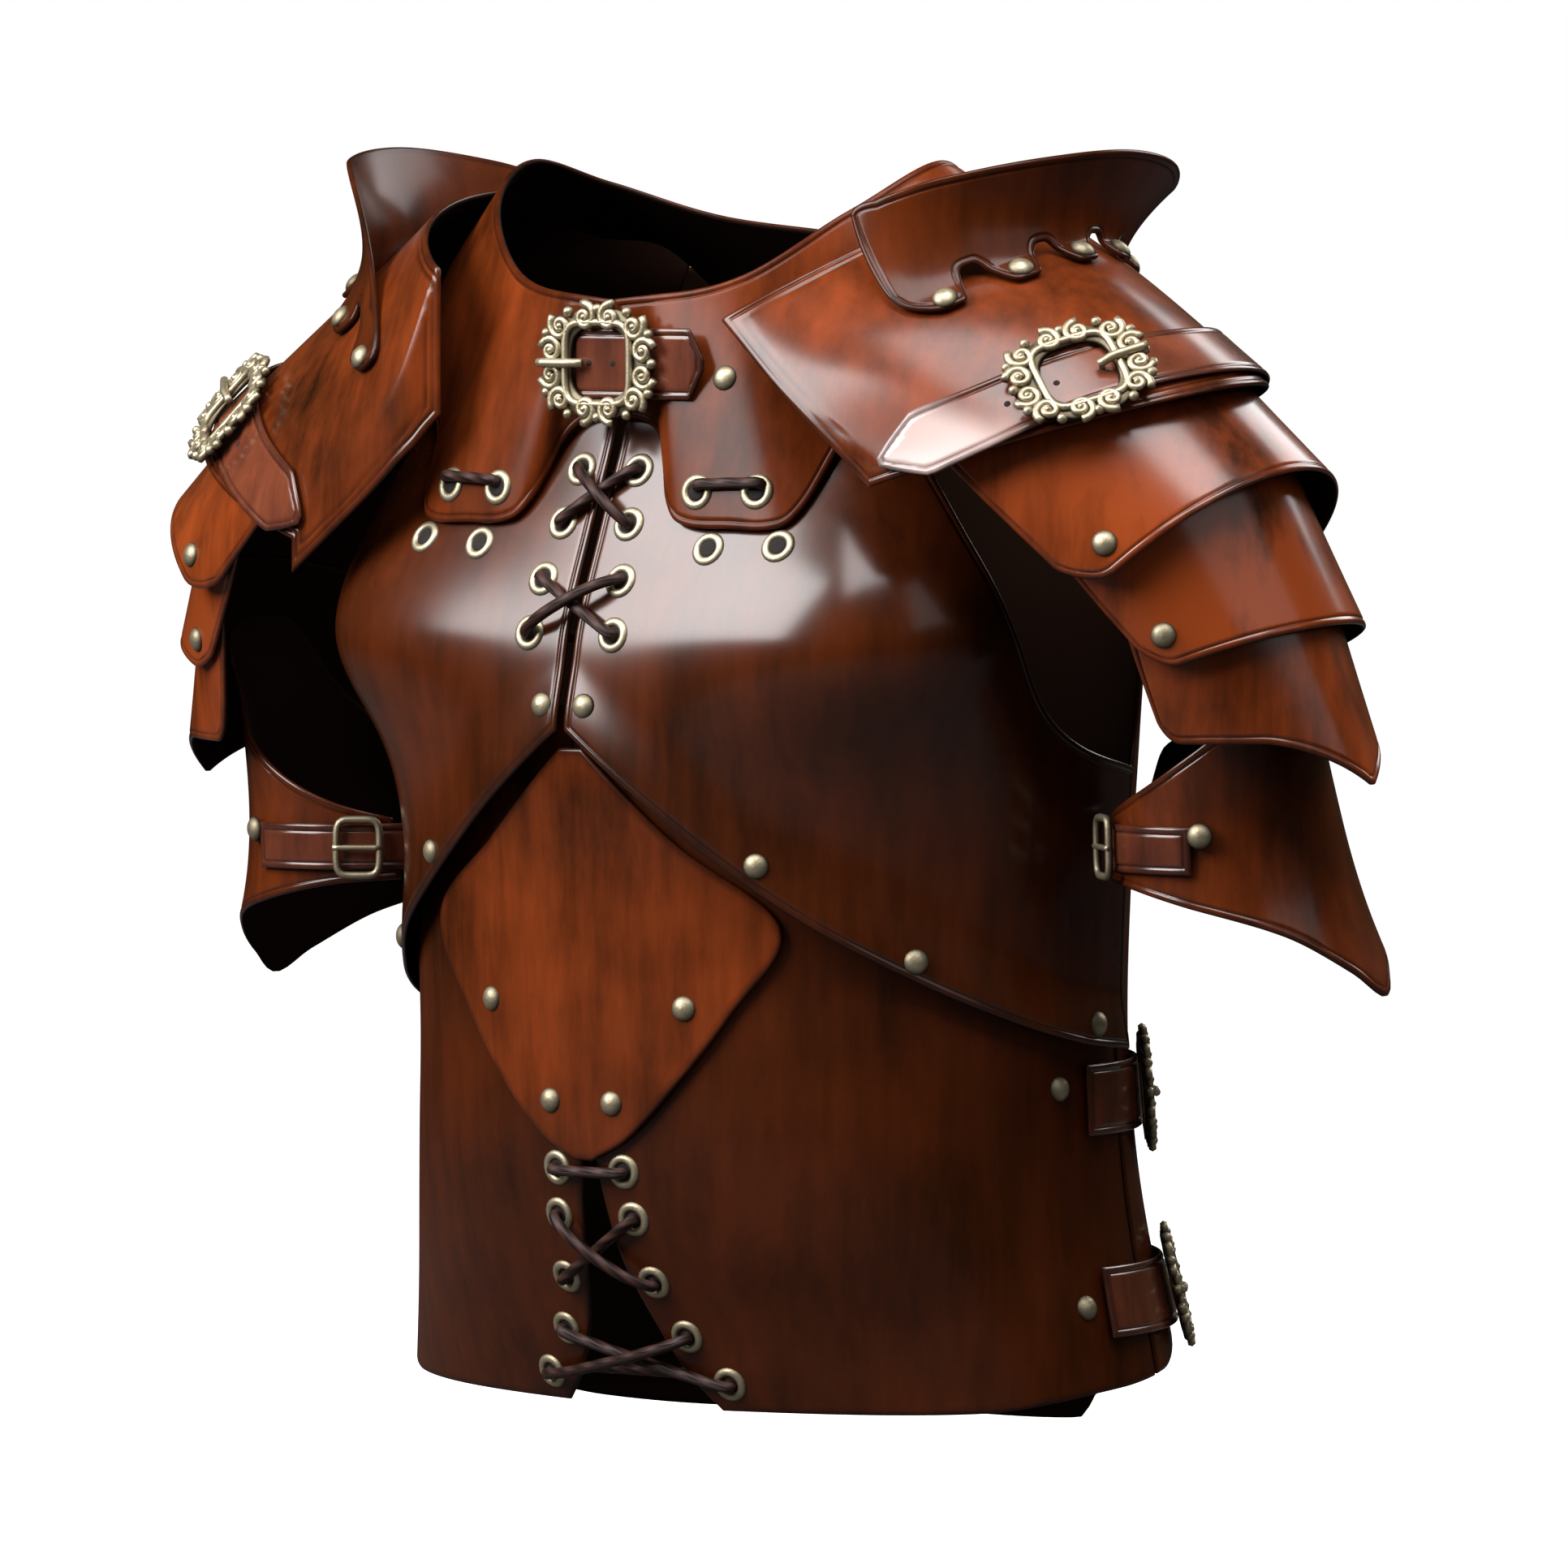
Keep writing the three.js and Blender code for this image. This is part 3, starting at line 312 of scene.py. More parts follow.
def lifted(surface, a, b, lift, out):
    """Points of a surface moved outward along its normal, which is the cross product of its two slopes."""
    step = 0.02
    points = surface(a, b)
    along = surface(a + step, b) - surface(a - step, b)
    across = surface(a, b + step) - surface(a, b - step)
    normal = unit(np.cross(along, across))
    normal = normal * np.where((normal * out(points)).sum(-1) < 0, -1, 1)[..., None]
    return points + normal * np.asarray(lift)[..., None], normal


def from_front(turn):
    return np.abs(np.where(turn > 180, turn - 360, turn))


def gorget_surface(turn, share):
    """Straight runs from the neck rim, share 0, to the hem, share 1, which bow out at the back."""
    near = from_front(turn)
    angle = np.radians(turn)
    depth = np.where(np.cos(angle) > 0, NECK["front"], NECK["back"])
    rim = joined(
        NECK["half"] * np.sin(angle), NECK["y"] - depth * np.cos(angle), follow(NECK_RIM, "turn", "z", near),
    )
    lift = mix(GORGET_LIFT["front"], GORGET_LIFT["back"], smooth(*GORGET_LIFT["turns"], near))
    signed = np.where(turn > 180, turn - 360, turn)
    hem, _ = lifted(torso, signed, follow(GORGET_HEM, "turn", "z", near), lift, from_axis)
    spread = share + follow(GORGET_HEM, "turn", "ease", near) * share * (1 - share)
    return joined(
        mix(rim[..., 0], hem[..., 0], spread), mix(rim[..., 1], hem[..., 1], spread),
        mix(rim[..., 2], hem[..., 2], share),
    )


def ring_point(ring, turn):
    """Half ring: the crown follows a power of the cosine, the reach the sine, tilted up to the back."""
    cosine, sine = np.cos(np.radians(turn)), np.sin(np.radians(turn))
    crown = np.sign(cosine) * np.abs(cosine) ** (1 + ring["peak"])
    middle, reach = (ring["front"] + ring["back"]) / 2, (ring["back"] - ring["front"]) / 2
    return joined(
        mix(ring["endX"], ring["outX"], crown), middle + reach * sine,
        mix(ring["endZ"], ring["outZ"], crown) + ring["tilt"] * sine,
    )


def cap_ring(side, at):
    return {name: follow(SHOULDER_CAP[side], "at", name, at) for name in RING.split()}


def cap_surface(side):
    """Half rings strung along the shoulder, from the neck at 0 to the arm at 1."""
    return lambda turn, at: ring_point(cap_ring(side, at), turn)


def ring_inside(ring, gap):
    """A ring that lies inside another one: its crown by the gap, aslant, and its ends by about as much."""
    inside = dict(ring)
    inside["outX"] = ring["outX"] - gap * 0.8
    inside["outZ"] = ring["outZ"] - gap * 0.6
    inside["front"] = ring["front"] + gap
    inside["back"] = ring["back"] - 1.3 * gap
    return inside


def lame_rings(side):
    """Upper and lower ring of each lame; a lame begins inside the plate above it."""
    rings = []
    above = cap_ring(side, CAP_TUCK)
    for row in range(len(LAME_NAMES)):
        upper = ring_inside(above, LAME_GAP)
        lower = {name: LAMES[name][row] for name in RING.split()}
        lower["outZ"] -= DROP[side]
        lower["endZ"] -= DROP[side]
        rings.append((upper, lower))
        above = {name: mix(upper[name], lower[name], LAME_TUCK) for name in RING.split()}
    return rings


LAME_RINGS = {side: lame_rings(side) for side in ("left", "right")}


def lame_surface(row, side):
    """Straight runs from the upper ring, 0, to the lower ring, 1."""
    upper, lower = LAME_RINGS[side][row]
    return lambda turn, at: mix(ring_point(upper, turn), ring_point(lower, turn), np.asarray(at)[..., None])


def arm_surface(side):
    """Round sections about the arm; the top flares out by a bell curve to lean on the lowest lame."""
    seat = lame_surface(2, side)(np.array(0.0), np.array(ARM_SEAT["at"]))
    seat_z = seat[2] + DROP[side]
    middle = np.array([follow(ARM_SECTIONS, "z", name, seat_z) for name in "xy"])
    aside = seat[:2] - middle
    flare = np.hypot(*aside) - follow(ARM_SECTIONS, "z", "radius", seat_z) - PLATE - ARM_SEAT["spare"]
    seat_turn = np.degrees(np.arctan2(aside[1], aside[0]))

    def sleeve(turn, z):
        away = (turn - seat_turn + 180) % 360 - 180
        near = np.exp(-((away / ARM_SEAT["spread"]) ** 2)) * smooth(seat_z - ARM_SEAT["fade"], seat_z, z)
        radius = follow(ARM_SECTIONS, "z", "radius", z) + flare * near
        return joined(
            follow(ARM_SECTIONS, "z", "x", z) + radius * np.cos(np.radians(turn)),
            follow(ARM_SECTIONS, "z", "y", z) + radius * np.sin(np.radians(turn)), z,
        )

    return sleeve


def guard_surface(side):
    """Neck guard: below 0 it lies on the cap, and from 0 to 1 each run is a quadratic curve from the seat on
    the cap to the flared rim, drawn in towards the neck. Half the sum of the height and of a hypotenuse
    rounds the bend at 0."""
    cap = cap_surface(side)

    def guard(a, b):
        above = (b + np.hypot(b, GUARD_BEND)) / 2
        below = above - b
        low, _ = lifted(
            cap, mix(*GUARD[side]["seat"], a), GUARD_AT + GUARD_TAB_REACH * below, GUARD_LIFT, from_arm,
        )
        rim_turn = mix(*GUARD[side]["rim"], a)
        high = joined(
            GUARD_TOP["x"] + GUARD_TOP["out"] * np.cos(np.radians(rim_turn)),
            GUARD_TOP["y"] + GUARD_TOP["reach"] * np.sin(np.radians(rim_turn)),
            follow(GUARD_RIM, "turn", "z", rim_turn),
        )
        middle = mix(low, high, GUARD_DRAWN["share"]) - np.array([GUARD_DRAWN["inward"], 0, 0])
        t = above[..., None]
        return low * (1 - t) ** 2 + middle * 2 * t * (1 - t) + high * t**2

    return guard


def collar_front(x, z):
    """Shallow bow in front of the collar, where the gorget strap lies."""
    return joined(x, x**2 / (2 * GORGET_STRAP["bend"]) - GORGET_STRAP["stand"], z)


# Meshes
BORDER_STEPS = np.array([0, 0.25, 0.7, 1.4, 2.0, 2.4, 2.8, 3.2, 3.6, 4.4, 5.0, 5.4, 5.8, 6.6, 8.5])
ONE_LINE = (2.8,)
TWO_LINES = (2.8, 5.4)
EDGE = dict(round=1.4, blunt=0.25)
GROOVE = dict(half=0.5, depth=0.5)


def grid_steps(length, cells):
    """Grid lines from 0 to 1: close together along both borders, for the rounded edge and the tooled lines,
    and evenly spread between them."""
    near = BORDER_STEPS / length
    return np.concatenate([near, np.linspace(near[-1], 1 - near[-1], cells)[1:-1], 1 - near[::-1]])


def border_distance(points):
    """Distance of each grid point from the border: its run along the grid lines to the nearest side, times
    the sine of the angle between the lines."""
    run = []
    for axis in (0, 1):
        steps = np.diff(points, axis=axis, prepend=np.take(points, [0], axis))
        run.append(np.cumsum(np.linalg.norm(steps, axis=-1), axis))
    slopes = [unit(np.gradient(points, axis=axis)) for axis in (0, 1)]
    lean = np.linalg.norm(np.cross(*slopes), axis=-1)
    sides = [run[0], run[0][-1:] - run[0], run[1], run[1][:, -1:] - run[1]]
    return lean * np.minimum.reduce(sides), run


def leather_wall(base, normal, thickness, lines):
    """Wall on a grid of inner points: its thickness follows a quarter circle at the border, and each tooled
    line, at its own distance from the border, is a narrow bell-shaped groove."""
    edge, run = border_distance(base)
    rounded = mix(EDGE["blunt"], 1, np.sqrt(1 - (1 - np.clip(edge / EDGE["round"], 0, 1)) ** 2))
    bells = (np.exp(-(((edge - line) / GROOVE["half"]) ** 2)) for line in lines)
    groove = sum(bells, np.zeros_like(edge))
    middle = base + normal * thickness / 2
    half = (thickness / 2) * rounded
    return dict(
        outer=middle + normal * (half - GROOVE["depth"] * groove)[..., None],
        inner=middle - normal * half[..., None], edge=edge, groove=groove, along=run[1], across=run[0],
    )


def plate(surface, out, place, u_steps, v_steps, lift, lines=ONE_LINE):
    """Leather plate laid on a surface: place gives the surface coordinates of the unit square."""
    u, v = np.meshgrid(u_steps, v_steps)
    a, b = place(u, v)
    base, normal = lifted(surface, a, b, lift(a, v) if callable(lift) else lift, out)
    return leather_wall(base, normal, PLATE, lines)


def strap(surface, out, path, length, lift, width=STRAP_WIDTH, pointed=False):
    """Strap along a path of surface coordinates: straight lines across the path, drawn in to a point over
    the last tenth where it is asked for."""
    t = grid_steps(length, int(length / 3))
    middle, normal = lifted(surface, *path(t), lift, out)
    ahead = lifted(surface, *path(t + 0.01), lift, out)[0] - lifted(surface, *path(t - 0.01), lift, out)[0]
    across = unit(np.cross(normal, ahead))
    drawn = np.clip((t - STRAP_POINT["start"]) / (1 - STRAP_POINT["start"]), 0, 1) if pointed else 0 * t
    half = (width / 2) * mix(1, STRAP_POINT["blunt"], drawn)
    reach = 2 * grid_steps(width, 6) - 1
    base = middle[:, None] + across[:, None] * (half[:, None] * reach)[..., None]
    return leather_wall(base, np.broadcast_to(normal[:, None], base.shape), STRAP, ONE_LINE)


def mirrored(wall, side):
    """The right side is the left side's form turned over in X."""
    if side == "right":
        for name in ("outer", "inner"):
            wall[name] = wall[name] * np.array([-1, 1, 1])
    return wall


def dropped(wall, side):
    for name in ("outer", "inner"):
        wall[name] = wall[name] - np.array([0, 0, DROP[side]])
    return wall


def grid_quads(rows, cols):
    corner = np.arange(rows * cols).reshape(rows, cols)
    return np.stack([corner[:-1, :-1], corner[:-1, 1:], corner[1:, 1:], corner[1:, :-1]], -1).reshape(-1, 4)


def new_mesh(name, points, faces, uv=None, **values):
    """Mesh from arrays of points in millimetres and of quads, with named point values and a UV map."""
    mesh = bpy.data.meshes.new(name)
    mesh.from_pydata((points * MM).tolist(), [], faces.tolist())
    mesh.polygons.foreach_set("use_smooth", np.ones(len(mesh.polygons), bool))
    for key, value in values.items():
        mesh.attributes.new(key, "FLOAT", "POINT").data.foreach_set("value", np.asarray(value, np.float32))
    if uv is not None:
        corner = np.empty(len(mesh.loops), np.int32)
        mesh.loops.foreach_get("vertex_index", corner)
        mesh.uv_layers.new(name="UVMap").data.foreach_set("uv", uv[corner].astype(np.float32).ravel())
    mesh.validate()
    mesh.update()
    return mesh


def wall_mesh(name, wall, dye_and_painted_light=1.0, shine=1.0, flesh=1.0):
    """Outer and inner grid of a wall, closed by a strip of quads around the border."""
    outer, inner = wall["outer"], wall["inner"]
    rows, cols = outer.shape[:2]
    count = rows * cols
    corner = np.arange(count).reshape(rows, cols)
    top = grid_quads(rows, cols)
    loop = np.concatenate([corner[0], corner[1:, -1], corner[-1, -2::-1], corner[-2:0:-1, 0]])
    follower = np.roll(loop, -1)
    rim = np.stack([follower, loop, loop + count, follower + count], -1)
    faces = np.concatenate([top, top[:, ::-1] + count, rim])
    points = np.concatenate([outer.reshape(-1, 3), inner.reshape(-1, 3)])
    diagonals = [points[top[:, 2]] - points[top[:, 0]], points[top[:, 3]] - points[top[:, 1]]]
    facing = np.cross(*diagonals) * (points[top[:, 0]] - points[top[:, 0] + count])
    if facing.sum() < 0:
        faces = faces[:, ::-1]
    uv = np.tile(np.stack([wall["along"], wall["across"]], -1).reshape(-1, 2), (2, 1)) / UV_LENGTH
    values = dict(inside=np.repeat([0.0, flesh], count), dye_and_painted_light=np.full(2 * count, dye_and_painted_light))
    values["shine"] = np.full(2 * count, shine)
    for key in ("edge", "groove", "painted_highlight"):
        values[key] = np.tile(np.broadcast_to(wall.get(key, 0.0), (rows, cols)).ravel(), 2)
    return new_mesh(name, points, faces, uv, **values)


def tube(path, radius, up, sides=8, closed=False):
    """Round tube: circles carried along a path, each standing across the path with its own radius; open
    ends draw in to a point."""
    path = np.asarray(path, float)
    radius = np.broadcast_to(np.asarray(radius, float), len(path))
    if closed:
        ahead = np.roll(path, -1, 0) - np.roll(path, 1, 0)
    else:
        ahead = np.gradient(path, axis=0)
        path = np.concatenate([path[:1], path, path[-1:]])
        radius = np.concatenate([[TIP], radius, [TIP]])
        ahead = np.concatenate([ahead[:1], ahead, ahead[-1:]])
    ahead = unit(ahead)
    side = unit(np.cross(ahead, np.broadcast_to(up, ahead.shape)))
    over = np.cross(side, ahead)
    angle = np.arange(sides) / sides * 2 * np.pi
    ring = side[:, None] * np.cos(angle)[:, None] + over[:, None] * np.sin(angle)[:, None]
    points = path[:, None] + ring * radius[:, None, None]
    index = np.arange(len(path) * sides).reshape(len(path), sides)
    ahead_index = np.roll(index, -1, 0) if closed else index[1:]
    index = index if closed else index[:-1]
    faces = np.stack([index, np.roll(index, -1, 1), np.roll(ahead_index, -1, 1), ahead_index], -1)
    run = np.cumsum(np.linalg.norm(np.diff(path, axis=0, prepend=path[:1]), axis=-1))
    uv = np.stack(np.broadcast_arrays(run[:, None] / UV_LENGTH, angle / (2 * np.pi)), -1).reshape(-1, 2)
    return points.reshape(-1, 3), faces.reshape(-1, 4), uv


def turned(profile, sectors):
    """Solid of revolution about Z of a profile of radius and height."""
    angle = np.arange(sectors) / sectors * 2 * np.pi
    radius, height = np.array(profile, float).T
    points = joined(radius[:, None] * np.cos(angle), radius[:, None] * np.sin(angle), height[:, None])
    index = np.arange(len(radius) * sectors).reshape(len(radius), sectors)
    quads = [index[:-1], index[1:], np.roll(index, -1, 1)[1:], np.roll(index, -1, 1)[:-1]]
    return points.reshape(-1, 3), np.stack(quads, -1).reshape(-1, 4)


def gathered(*parts):
    """Several meshes of points and faces as one."""
    starts = np.cumsum([0] + [len(part[0]) for part in parts[:-1]])
    return (
        np.concatenate([part[0] for part in parts]),
        np.concatenate([part[1] + start for part, start in zip(parts, starts)]),
    )


def standing(points, normals):
    """Frames on a surface: two directions in the surface and the normal, one frame for each point."""
    side = unit(np.cross(normals, np.array([0.3, 0.1, 1.0])))
    return points, np.stack([side, np.cross(normals, side), normals], -2)


def stamped(shape, points, axes):
    """Copies of a small shape, one in each frame."""
    places = points[:, None] + shape[0] @ axes
    faces = shape[1] + (np.arange(len(points)) * len(shape[0]))[:, None, None]
    return places.reshape(-1, 3), faces.reshape(-1, 4)


def add_piece(mesh, material, slot, *nodes):
    """Object of a mesh, riding on the one body and standing for the solids it replaces."""
    piece = bpy.data.objects.new(mesh.name, mesh)
    bpy.context.collection.objects.link(piece)
    mesh.materials.append(material)
    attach(piece, "root")
    if nodes:
        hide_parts(*nodes)


# Finishes
def add_node(tree, kind, inputs=(), **settings):
    node = tree.nodes.new(kind)
    for name, value in settings.items():
        setattr(node, name, value)
    for name, value in dict(inputs).items():
        put(tree, node.inputs[name], value)
    return node


def put(tree, socket, value):
    """A socket's own value, or a wire from another node's output."""
    if isinstance(value, bpy.types.NodeSocket):
        tree.links.new(value, socket)
    else:
        socket.default_value = value


def blend(tree, factor, low, high):
    node = tree.nodes.new("ShaderNodeMix")
    node.data_type = "RGBA"
    for socket, value in zip((node.inputs[0], node.inputs[6], node.inputs[7]), (factor, low, high)):
        put(tree, socket, value)
    return node.outputs[2]


def ranged(tree, value, low, high, to_low=0.0, to_high=1.0):
    inputs = {"Value": value, "From Min": low, "From Max": high, "To Min": to_low, "To Max": to_high}
    return add_node(tree, "ShaderNodeMapRange", inputs).outputs["Result"]


def calculated(tree, operation, first, second=0.0):
    node = tree.nodes.new("ShaderNodeMath")
    node.operation = operation
    put(tree, node.inputs[0], first)
    put(tree, node.inputs[1], second)
    return node.outputs[0]


def new_group(name, inputs, outputs):
    """Empty shader group with named value sockets."""
    group = bpy.data.node_groups.new(name, "ShaderNodeTree")
    for socket, value in inputs.items():
        made = group.interface.new_socket(socket, in_out="INPUT", socket_type="NodeSocketFloat")
        made.default_value = value
    for socket in outputs:
        group.interface.new_socket(socket, in_out="OUTPUT", socket_type="NodeSocketFloat")
    start = group.nodes.new("NodeGroupInput")
    end = group.nodes.new("NodeGroupOutput")
    return group, start.outputs, end.inputs


def use_group(tree, group, **inputs):
    node = tree.nodes.new("ShaderNodeGroup")
    node.node_tree = group
    for name, value in inputs.items():
        put(tree, node.inputs[name], value)
    return node.outputs


def noise(tree, vector, scale, detail, roughness=0.5):
    inputs = {"Vector": vector, "Scale": scale, "Detail": detail, "Roughness": roughness}
    return add_node(tree, "ShaderNodeTexNoise", inputs).outputs["Fac"]


def hide_group():
    """Leather: cloudy dye, fine upright streaks and small pores."""
    group, given, made = new_group("hide", {"Scale": 1.0}, ["Tone", "Grain"])
    place = group.nodes.new("ShaderNodeTexCoord").outputs["Object"]
    drawn = add_node(group, "ShaderNodeMapping", {"Vector": place, "Scale": (1.0, 1.0, 0.16)}).outputs[0]
    streaks = noise(group, drawn, calculated(group, "MULTIPLY", given["Scale"], 70.0), 7.0, 0.65)
    clouds = noise(group, place, calculated(group, "MULTIPLY", given["Scale"], 11.0), 4.0, 0.55)
    pores = add_node(group, "ShaderNodeTexVoronoi", {"Vector": place, "Scale": 620.0}).outputs["Distance"]
    cloudy = calculated(group, "MULTIPLY", ranged(group, clouds, 0.3, 0.7), 0.6)
    streaky = calculated(group, "MULTIPLY", ranged(group, streaks, 0.34, 0.66), 0.4)
    put(group, made["Tone"], calculated(group, "ADD", cloudy, streaky))
    put(group, made["Grain"], calculated(group, "ADD", calculated(group, "MULTIPLY", pores, 0.5), streaks))
    return group


def burnish_group():
    """Edges: dark and polished at the very border, with dark wax left in the tooled lines."""
    group, given, made = new_group("burnished_edge", {"Distance": 50.0, "Groove": 0.0}, ["Dark", "Line"])
    place = group.nodes.new("ShaderNodeTexCoord").outputs["Object"]
    uneven = ranged(group, noise(group, place, 60.0, 3.0), 0.3, 0.7, 0.35, 1.0)
    border = ranged(group, given["Distance"], 0.8, 3.6, 1.0, 0.0)
    put(group, made["Dark"], calculated(group, "MULTIPLY", border, uneven))
    put(group, made["Line"], calculated(group, "MULTIPLY", given["Groove"], uneven))
    return group


def tarnish_group():
    """Old brass: cloudy tarnish that stays in the hollows of the relief."""
    group, given, made = new_group("tarnish", {"Relief": 1.0}, ["Bright", "Pits"])
    place = group.nodes.new("ShaderNodeTexCoord").outputs["Object"]
    clouds = ranged(group, noise(group, place, 240.0, 5.0, 0.6), 0.3, 0.7)
    high = ranged(group, given["Relief"], 0.15, 0.95)
    cloudy = ranged(group, clouds, 0.0, 1.0, 0.62, 1.0)
    put(group, made["Bright"], calculated(group, "MULTIPLY", high, cloudy))
    put(group, made["Pits"], noise(group, place, 900.0, 3.0))
    return group


HIDE = hide_group()
BURNISH = burnish_group()
TARNISH = tarnish_group()


def new_material(name):
    material = bpy.data.materials.new(name)
    material.use_nodes = True
    return material, material.node_tree, material.node_tree.nodes["Principled BSDF"].inputs


def bumped(tree, height, strength, distance):
    inputs = {"Height": height, "Strength": strength, "Distance": distance}
    return add_node(tree, "ShaderNodeBump", inputs).outputs["Normal"]


def value_of(tree, name):
    return add_node(tree, "ShaderNodeAttribute", attribute_name=name).outputs["Fac"]


def waxed_leather(name, light, deep, rim, flesh, roughness, gloss, scale=1.0):
    """Dyed and waxed hide: light and deep dye, whose share on each plate is partly painted light and shade,
    a pale painted highlight where asked, dark rim and lines, and the plain flesh side inside.
    """
    material, tree, shader = new_material(name)
    inside = value_of(tree, "inside")
    hide = use_group(tree, HIDE, Scale=scale)
    burnish = use_group(tree, BURNISH, Distance=value_of(tree, "edge"), Groove=value_of(tree, "groove"))
    # Dye share of each plate, partly its own dye and partly painted light and shade
    dyed_with_painted_light = blend(tree, calculated(tree, "MULTIPLY", hide["Tone"], value_of(tree, "dye_and_painted_light")), deep, light)
    # Painted highlight: blends the colour towards a pale tone where a strap's end is meant to look lit
    uneven = blend(tree, value_of(tree, "painted_highlight"), dyed_with_painted_light, PAINTED_HIGHLIGHT_TONE)
    rimmed = blend(tree, calculated(tree, "MULTIPLY", burnish["Dark"], 0.75), uneven, rim)
    lined = blend(tree, calculated(tree, "MULTIPLY", burnish["Line"], 0.8), rimmed, rim)
    put(tree, shader["Base Color"], blend(tree, inside, lined, flesh))
    polish = ranged(tree, hide["Tone"], 0.0, 1.0, roughness - 0.04, roughness + 0.08)
    plain = calculated(tree, "MULTIPLY", inside, 0.75)
    put(tree, shader["Roughness"], calculated(tree, "MAXIMUM", polish, plain))
    coat = ranged(tree, inside, 0.0, 1.0, gloss, 0.0)
    put(tree, shader["Coat Weight"], calculated(tree, "MULTIPLY", coat, value_of(tree, "shine")))
    shader["Coat Roughness"].default_value = 0.2
    shader["Specular IOR Level"].default_value = 0.03
    put(tree, shader["Normal"], bumped(tree, hide["Grain"], 0.1, 0.0006))
    return material


def old_brass():
    """Cast brass with dark tarnish in its hollows."""
    material, tree, shader = new_material("old_brass")
    tarnish = use_group(tree, TARNISH, Relief=value_of(tree, "relief"))
    dark, bright = (0.026, 0.018, 0.009, 1), (0.55, 0.47, 0.32, 1)
    put(tree, shader["Base Color"], blend(tree, tarnish["Bright"], dark, bright))
    shader["Metallic"].default_value = 0.9
    put(tree, shader["Roughness"], ranged(tree, tarnish["Bright"], 0.0, 1.0, 0.65, 0.42))
    put(tree, shader["Normal"], bumped(tree, tarnish["Pits"], 0.25, 0.0004))
    return material


def waxed_cord():
    """Round lace: three strands twisted together, seen as slanted ridges along its own length, with painted
    shade darkening the grooves between them.
    """
    material, tree, shader = new_material("waxed_cord")
    place = tree.nodes.new("ShaderNodeTexCoord").outputs["UV"]
    spot = add_node(tree, "ShaderNodeSeparateXYZ", {"Vector": place})
    along = calculated(tree, "MULTIPLY", spot.outputs["X"], 2 * np.pi * 9)
    around = calculated(tree, "MULTIPLY", spot.outputs["Y"], 2 * np.pi * 3)
    ridge = calculated(tree, "SINE", calculated(tree, "ADD", along, around))
    ridge_and_groove_shade = ranged(tree, ridge, -1.0, 1.0)
    # Painted shade: the colour darkens in the grooves between the strands
    put(tree, shader["Base Color"], blend(tree, ridge_and_groove_shade, (0.012, 0.005, 0.004, 1), (0.05, 0.02, 0.016, 1)))
    shader["Roughness"].default_value = 0.5
    shader["Specular IOR Level"].default_value = 0.2
    put(tree, shader["Normal"], bumped(tree, ridge_and_groove_shade, 0.5, 0.0006))
    return material


def plain_dark():
    """Deep shade inside an eyelet or a punched hole."""
    material, tree, shader = new_material("deep_shade")
    place = tree.nodes.new("ShaderNodeTexCoord").outputs["Object"]
    cloud = noise(tree, place, 300.0, 2.0)
    put(tree, shader["Base Color"], blend(tree, cloud, (0.004, 0.002, 0.002, 1), (0.012, 0.007, 0.005, 1)))
    shader["Roughness"].default_value = 0.9
    return material


def pale_floor():
    """Floor that the camera sees evenly white and that throws little light back up."""
    material, tree, shader = new_material("pale_floor")
    seen = tree.nodes.new("ShaderNodeLightPath").outputs["Is Camera Ray"]
    put(tree, shader["Base Color"], blend(tree, seen, (0.06, 0.06, 0.06, 1), (0.9, 0.9, 0.9, 1)))
    shader["Roughness"].default_value = 0.9
    shader["Emission Color"].default_value = (1, 1, 1, 1)
    put(tree, shader["Emission Strength"], seen)
    return material


# Pale colour painted on the left shoulder strap's end as a highlight
PAINTED_HIGHLIGHT_TONE = (0.62, 0.47, 0.44, 1)
FLESH = (0.012, 0.005, 0.003, 1)
PLATE_LEATHER = waxed_leather(
    "plate_leather", light=(0.27, 0.047, 0.009, 1), deep=(0.014, 0.0038, 0.0008, 1),
    rim=(0.01, 0.003, 0.002, 1), flesh=FLESH, roughness=0.34, gloss=0.55,
)
STRAP_LEATHER = waxed_leather(
    "strap_leather", light=(0.2, 0.05, 0.022, 1), deep=(0.04, 0.01, 0.006, 1),
    rim=(0.012, 0.004, 0.004, 1), flesh=FLESH, roughness=0.34, gloss=1.0, scale=1.6,
)
BRASS = old_brass()
CORD = waxed_cord()
SHADE = plain_dark()


# Torso plates
def breast_plate(sign):
    def place(u, v):
        turn = mix(BREAST_GAP, SIDE_TURN, u**1.05)
        bottom, top = (follow(table, "turn", "z", turn) for table in (BREAST_BOTTOM, BREAST_TOP))
        return sign * turn, mix(bottom, top, v)

    return plate(torso, from_axis, place, grid_steps(210, 70), grid_steps(140, 50), breast_lift)


def breast_lift(turn, v):
    """Over the stomacher in front, down on the belly plate at the side, standing off at the lower edge."""
    layer = mix(BREAST_LIFT, LAYER, smooth(*BREAST_STAND["turns"], np.abs(turn)))
    return layer + BREAST_STAND["off"] * (1 - smooth(0, BREAST_STAND["share"], v))


def belly_plate(sign):
    def place(u, v):
        spread = SIDE_TURN * u
        top = np.minimum(follow(BREAST_BOTTOM, "turn", "z", spread) + BELLY_OVERLAP, BELLY_TOP)
        z = mix(follow(BELLY_BOTTOM, "turn", "z", spread), top, v)
        return sign * mix(follow(BELLY_GAP, "z", "turn", z), SIDE_TURN, u), z

    return plate(torso, from_axis, place, grid_steps(220, 70), grid_steps(190, 56), 0.0, ())


def stomacher():
    def place(u, v):
        z = mix(*STOMACHER_ENDS, v)
        return (2 * u - 1) * follow(STOMACHER_HALF, "z", "turn", z), z

    return plate(torso, from_axis, place, grid_steps(110, 40), grid_steps(156, 60), STOMACHER_LIFT, ())


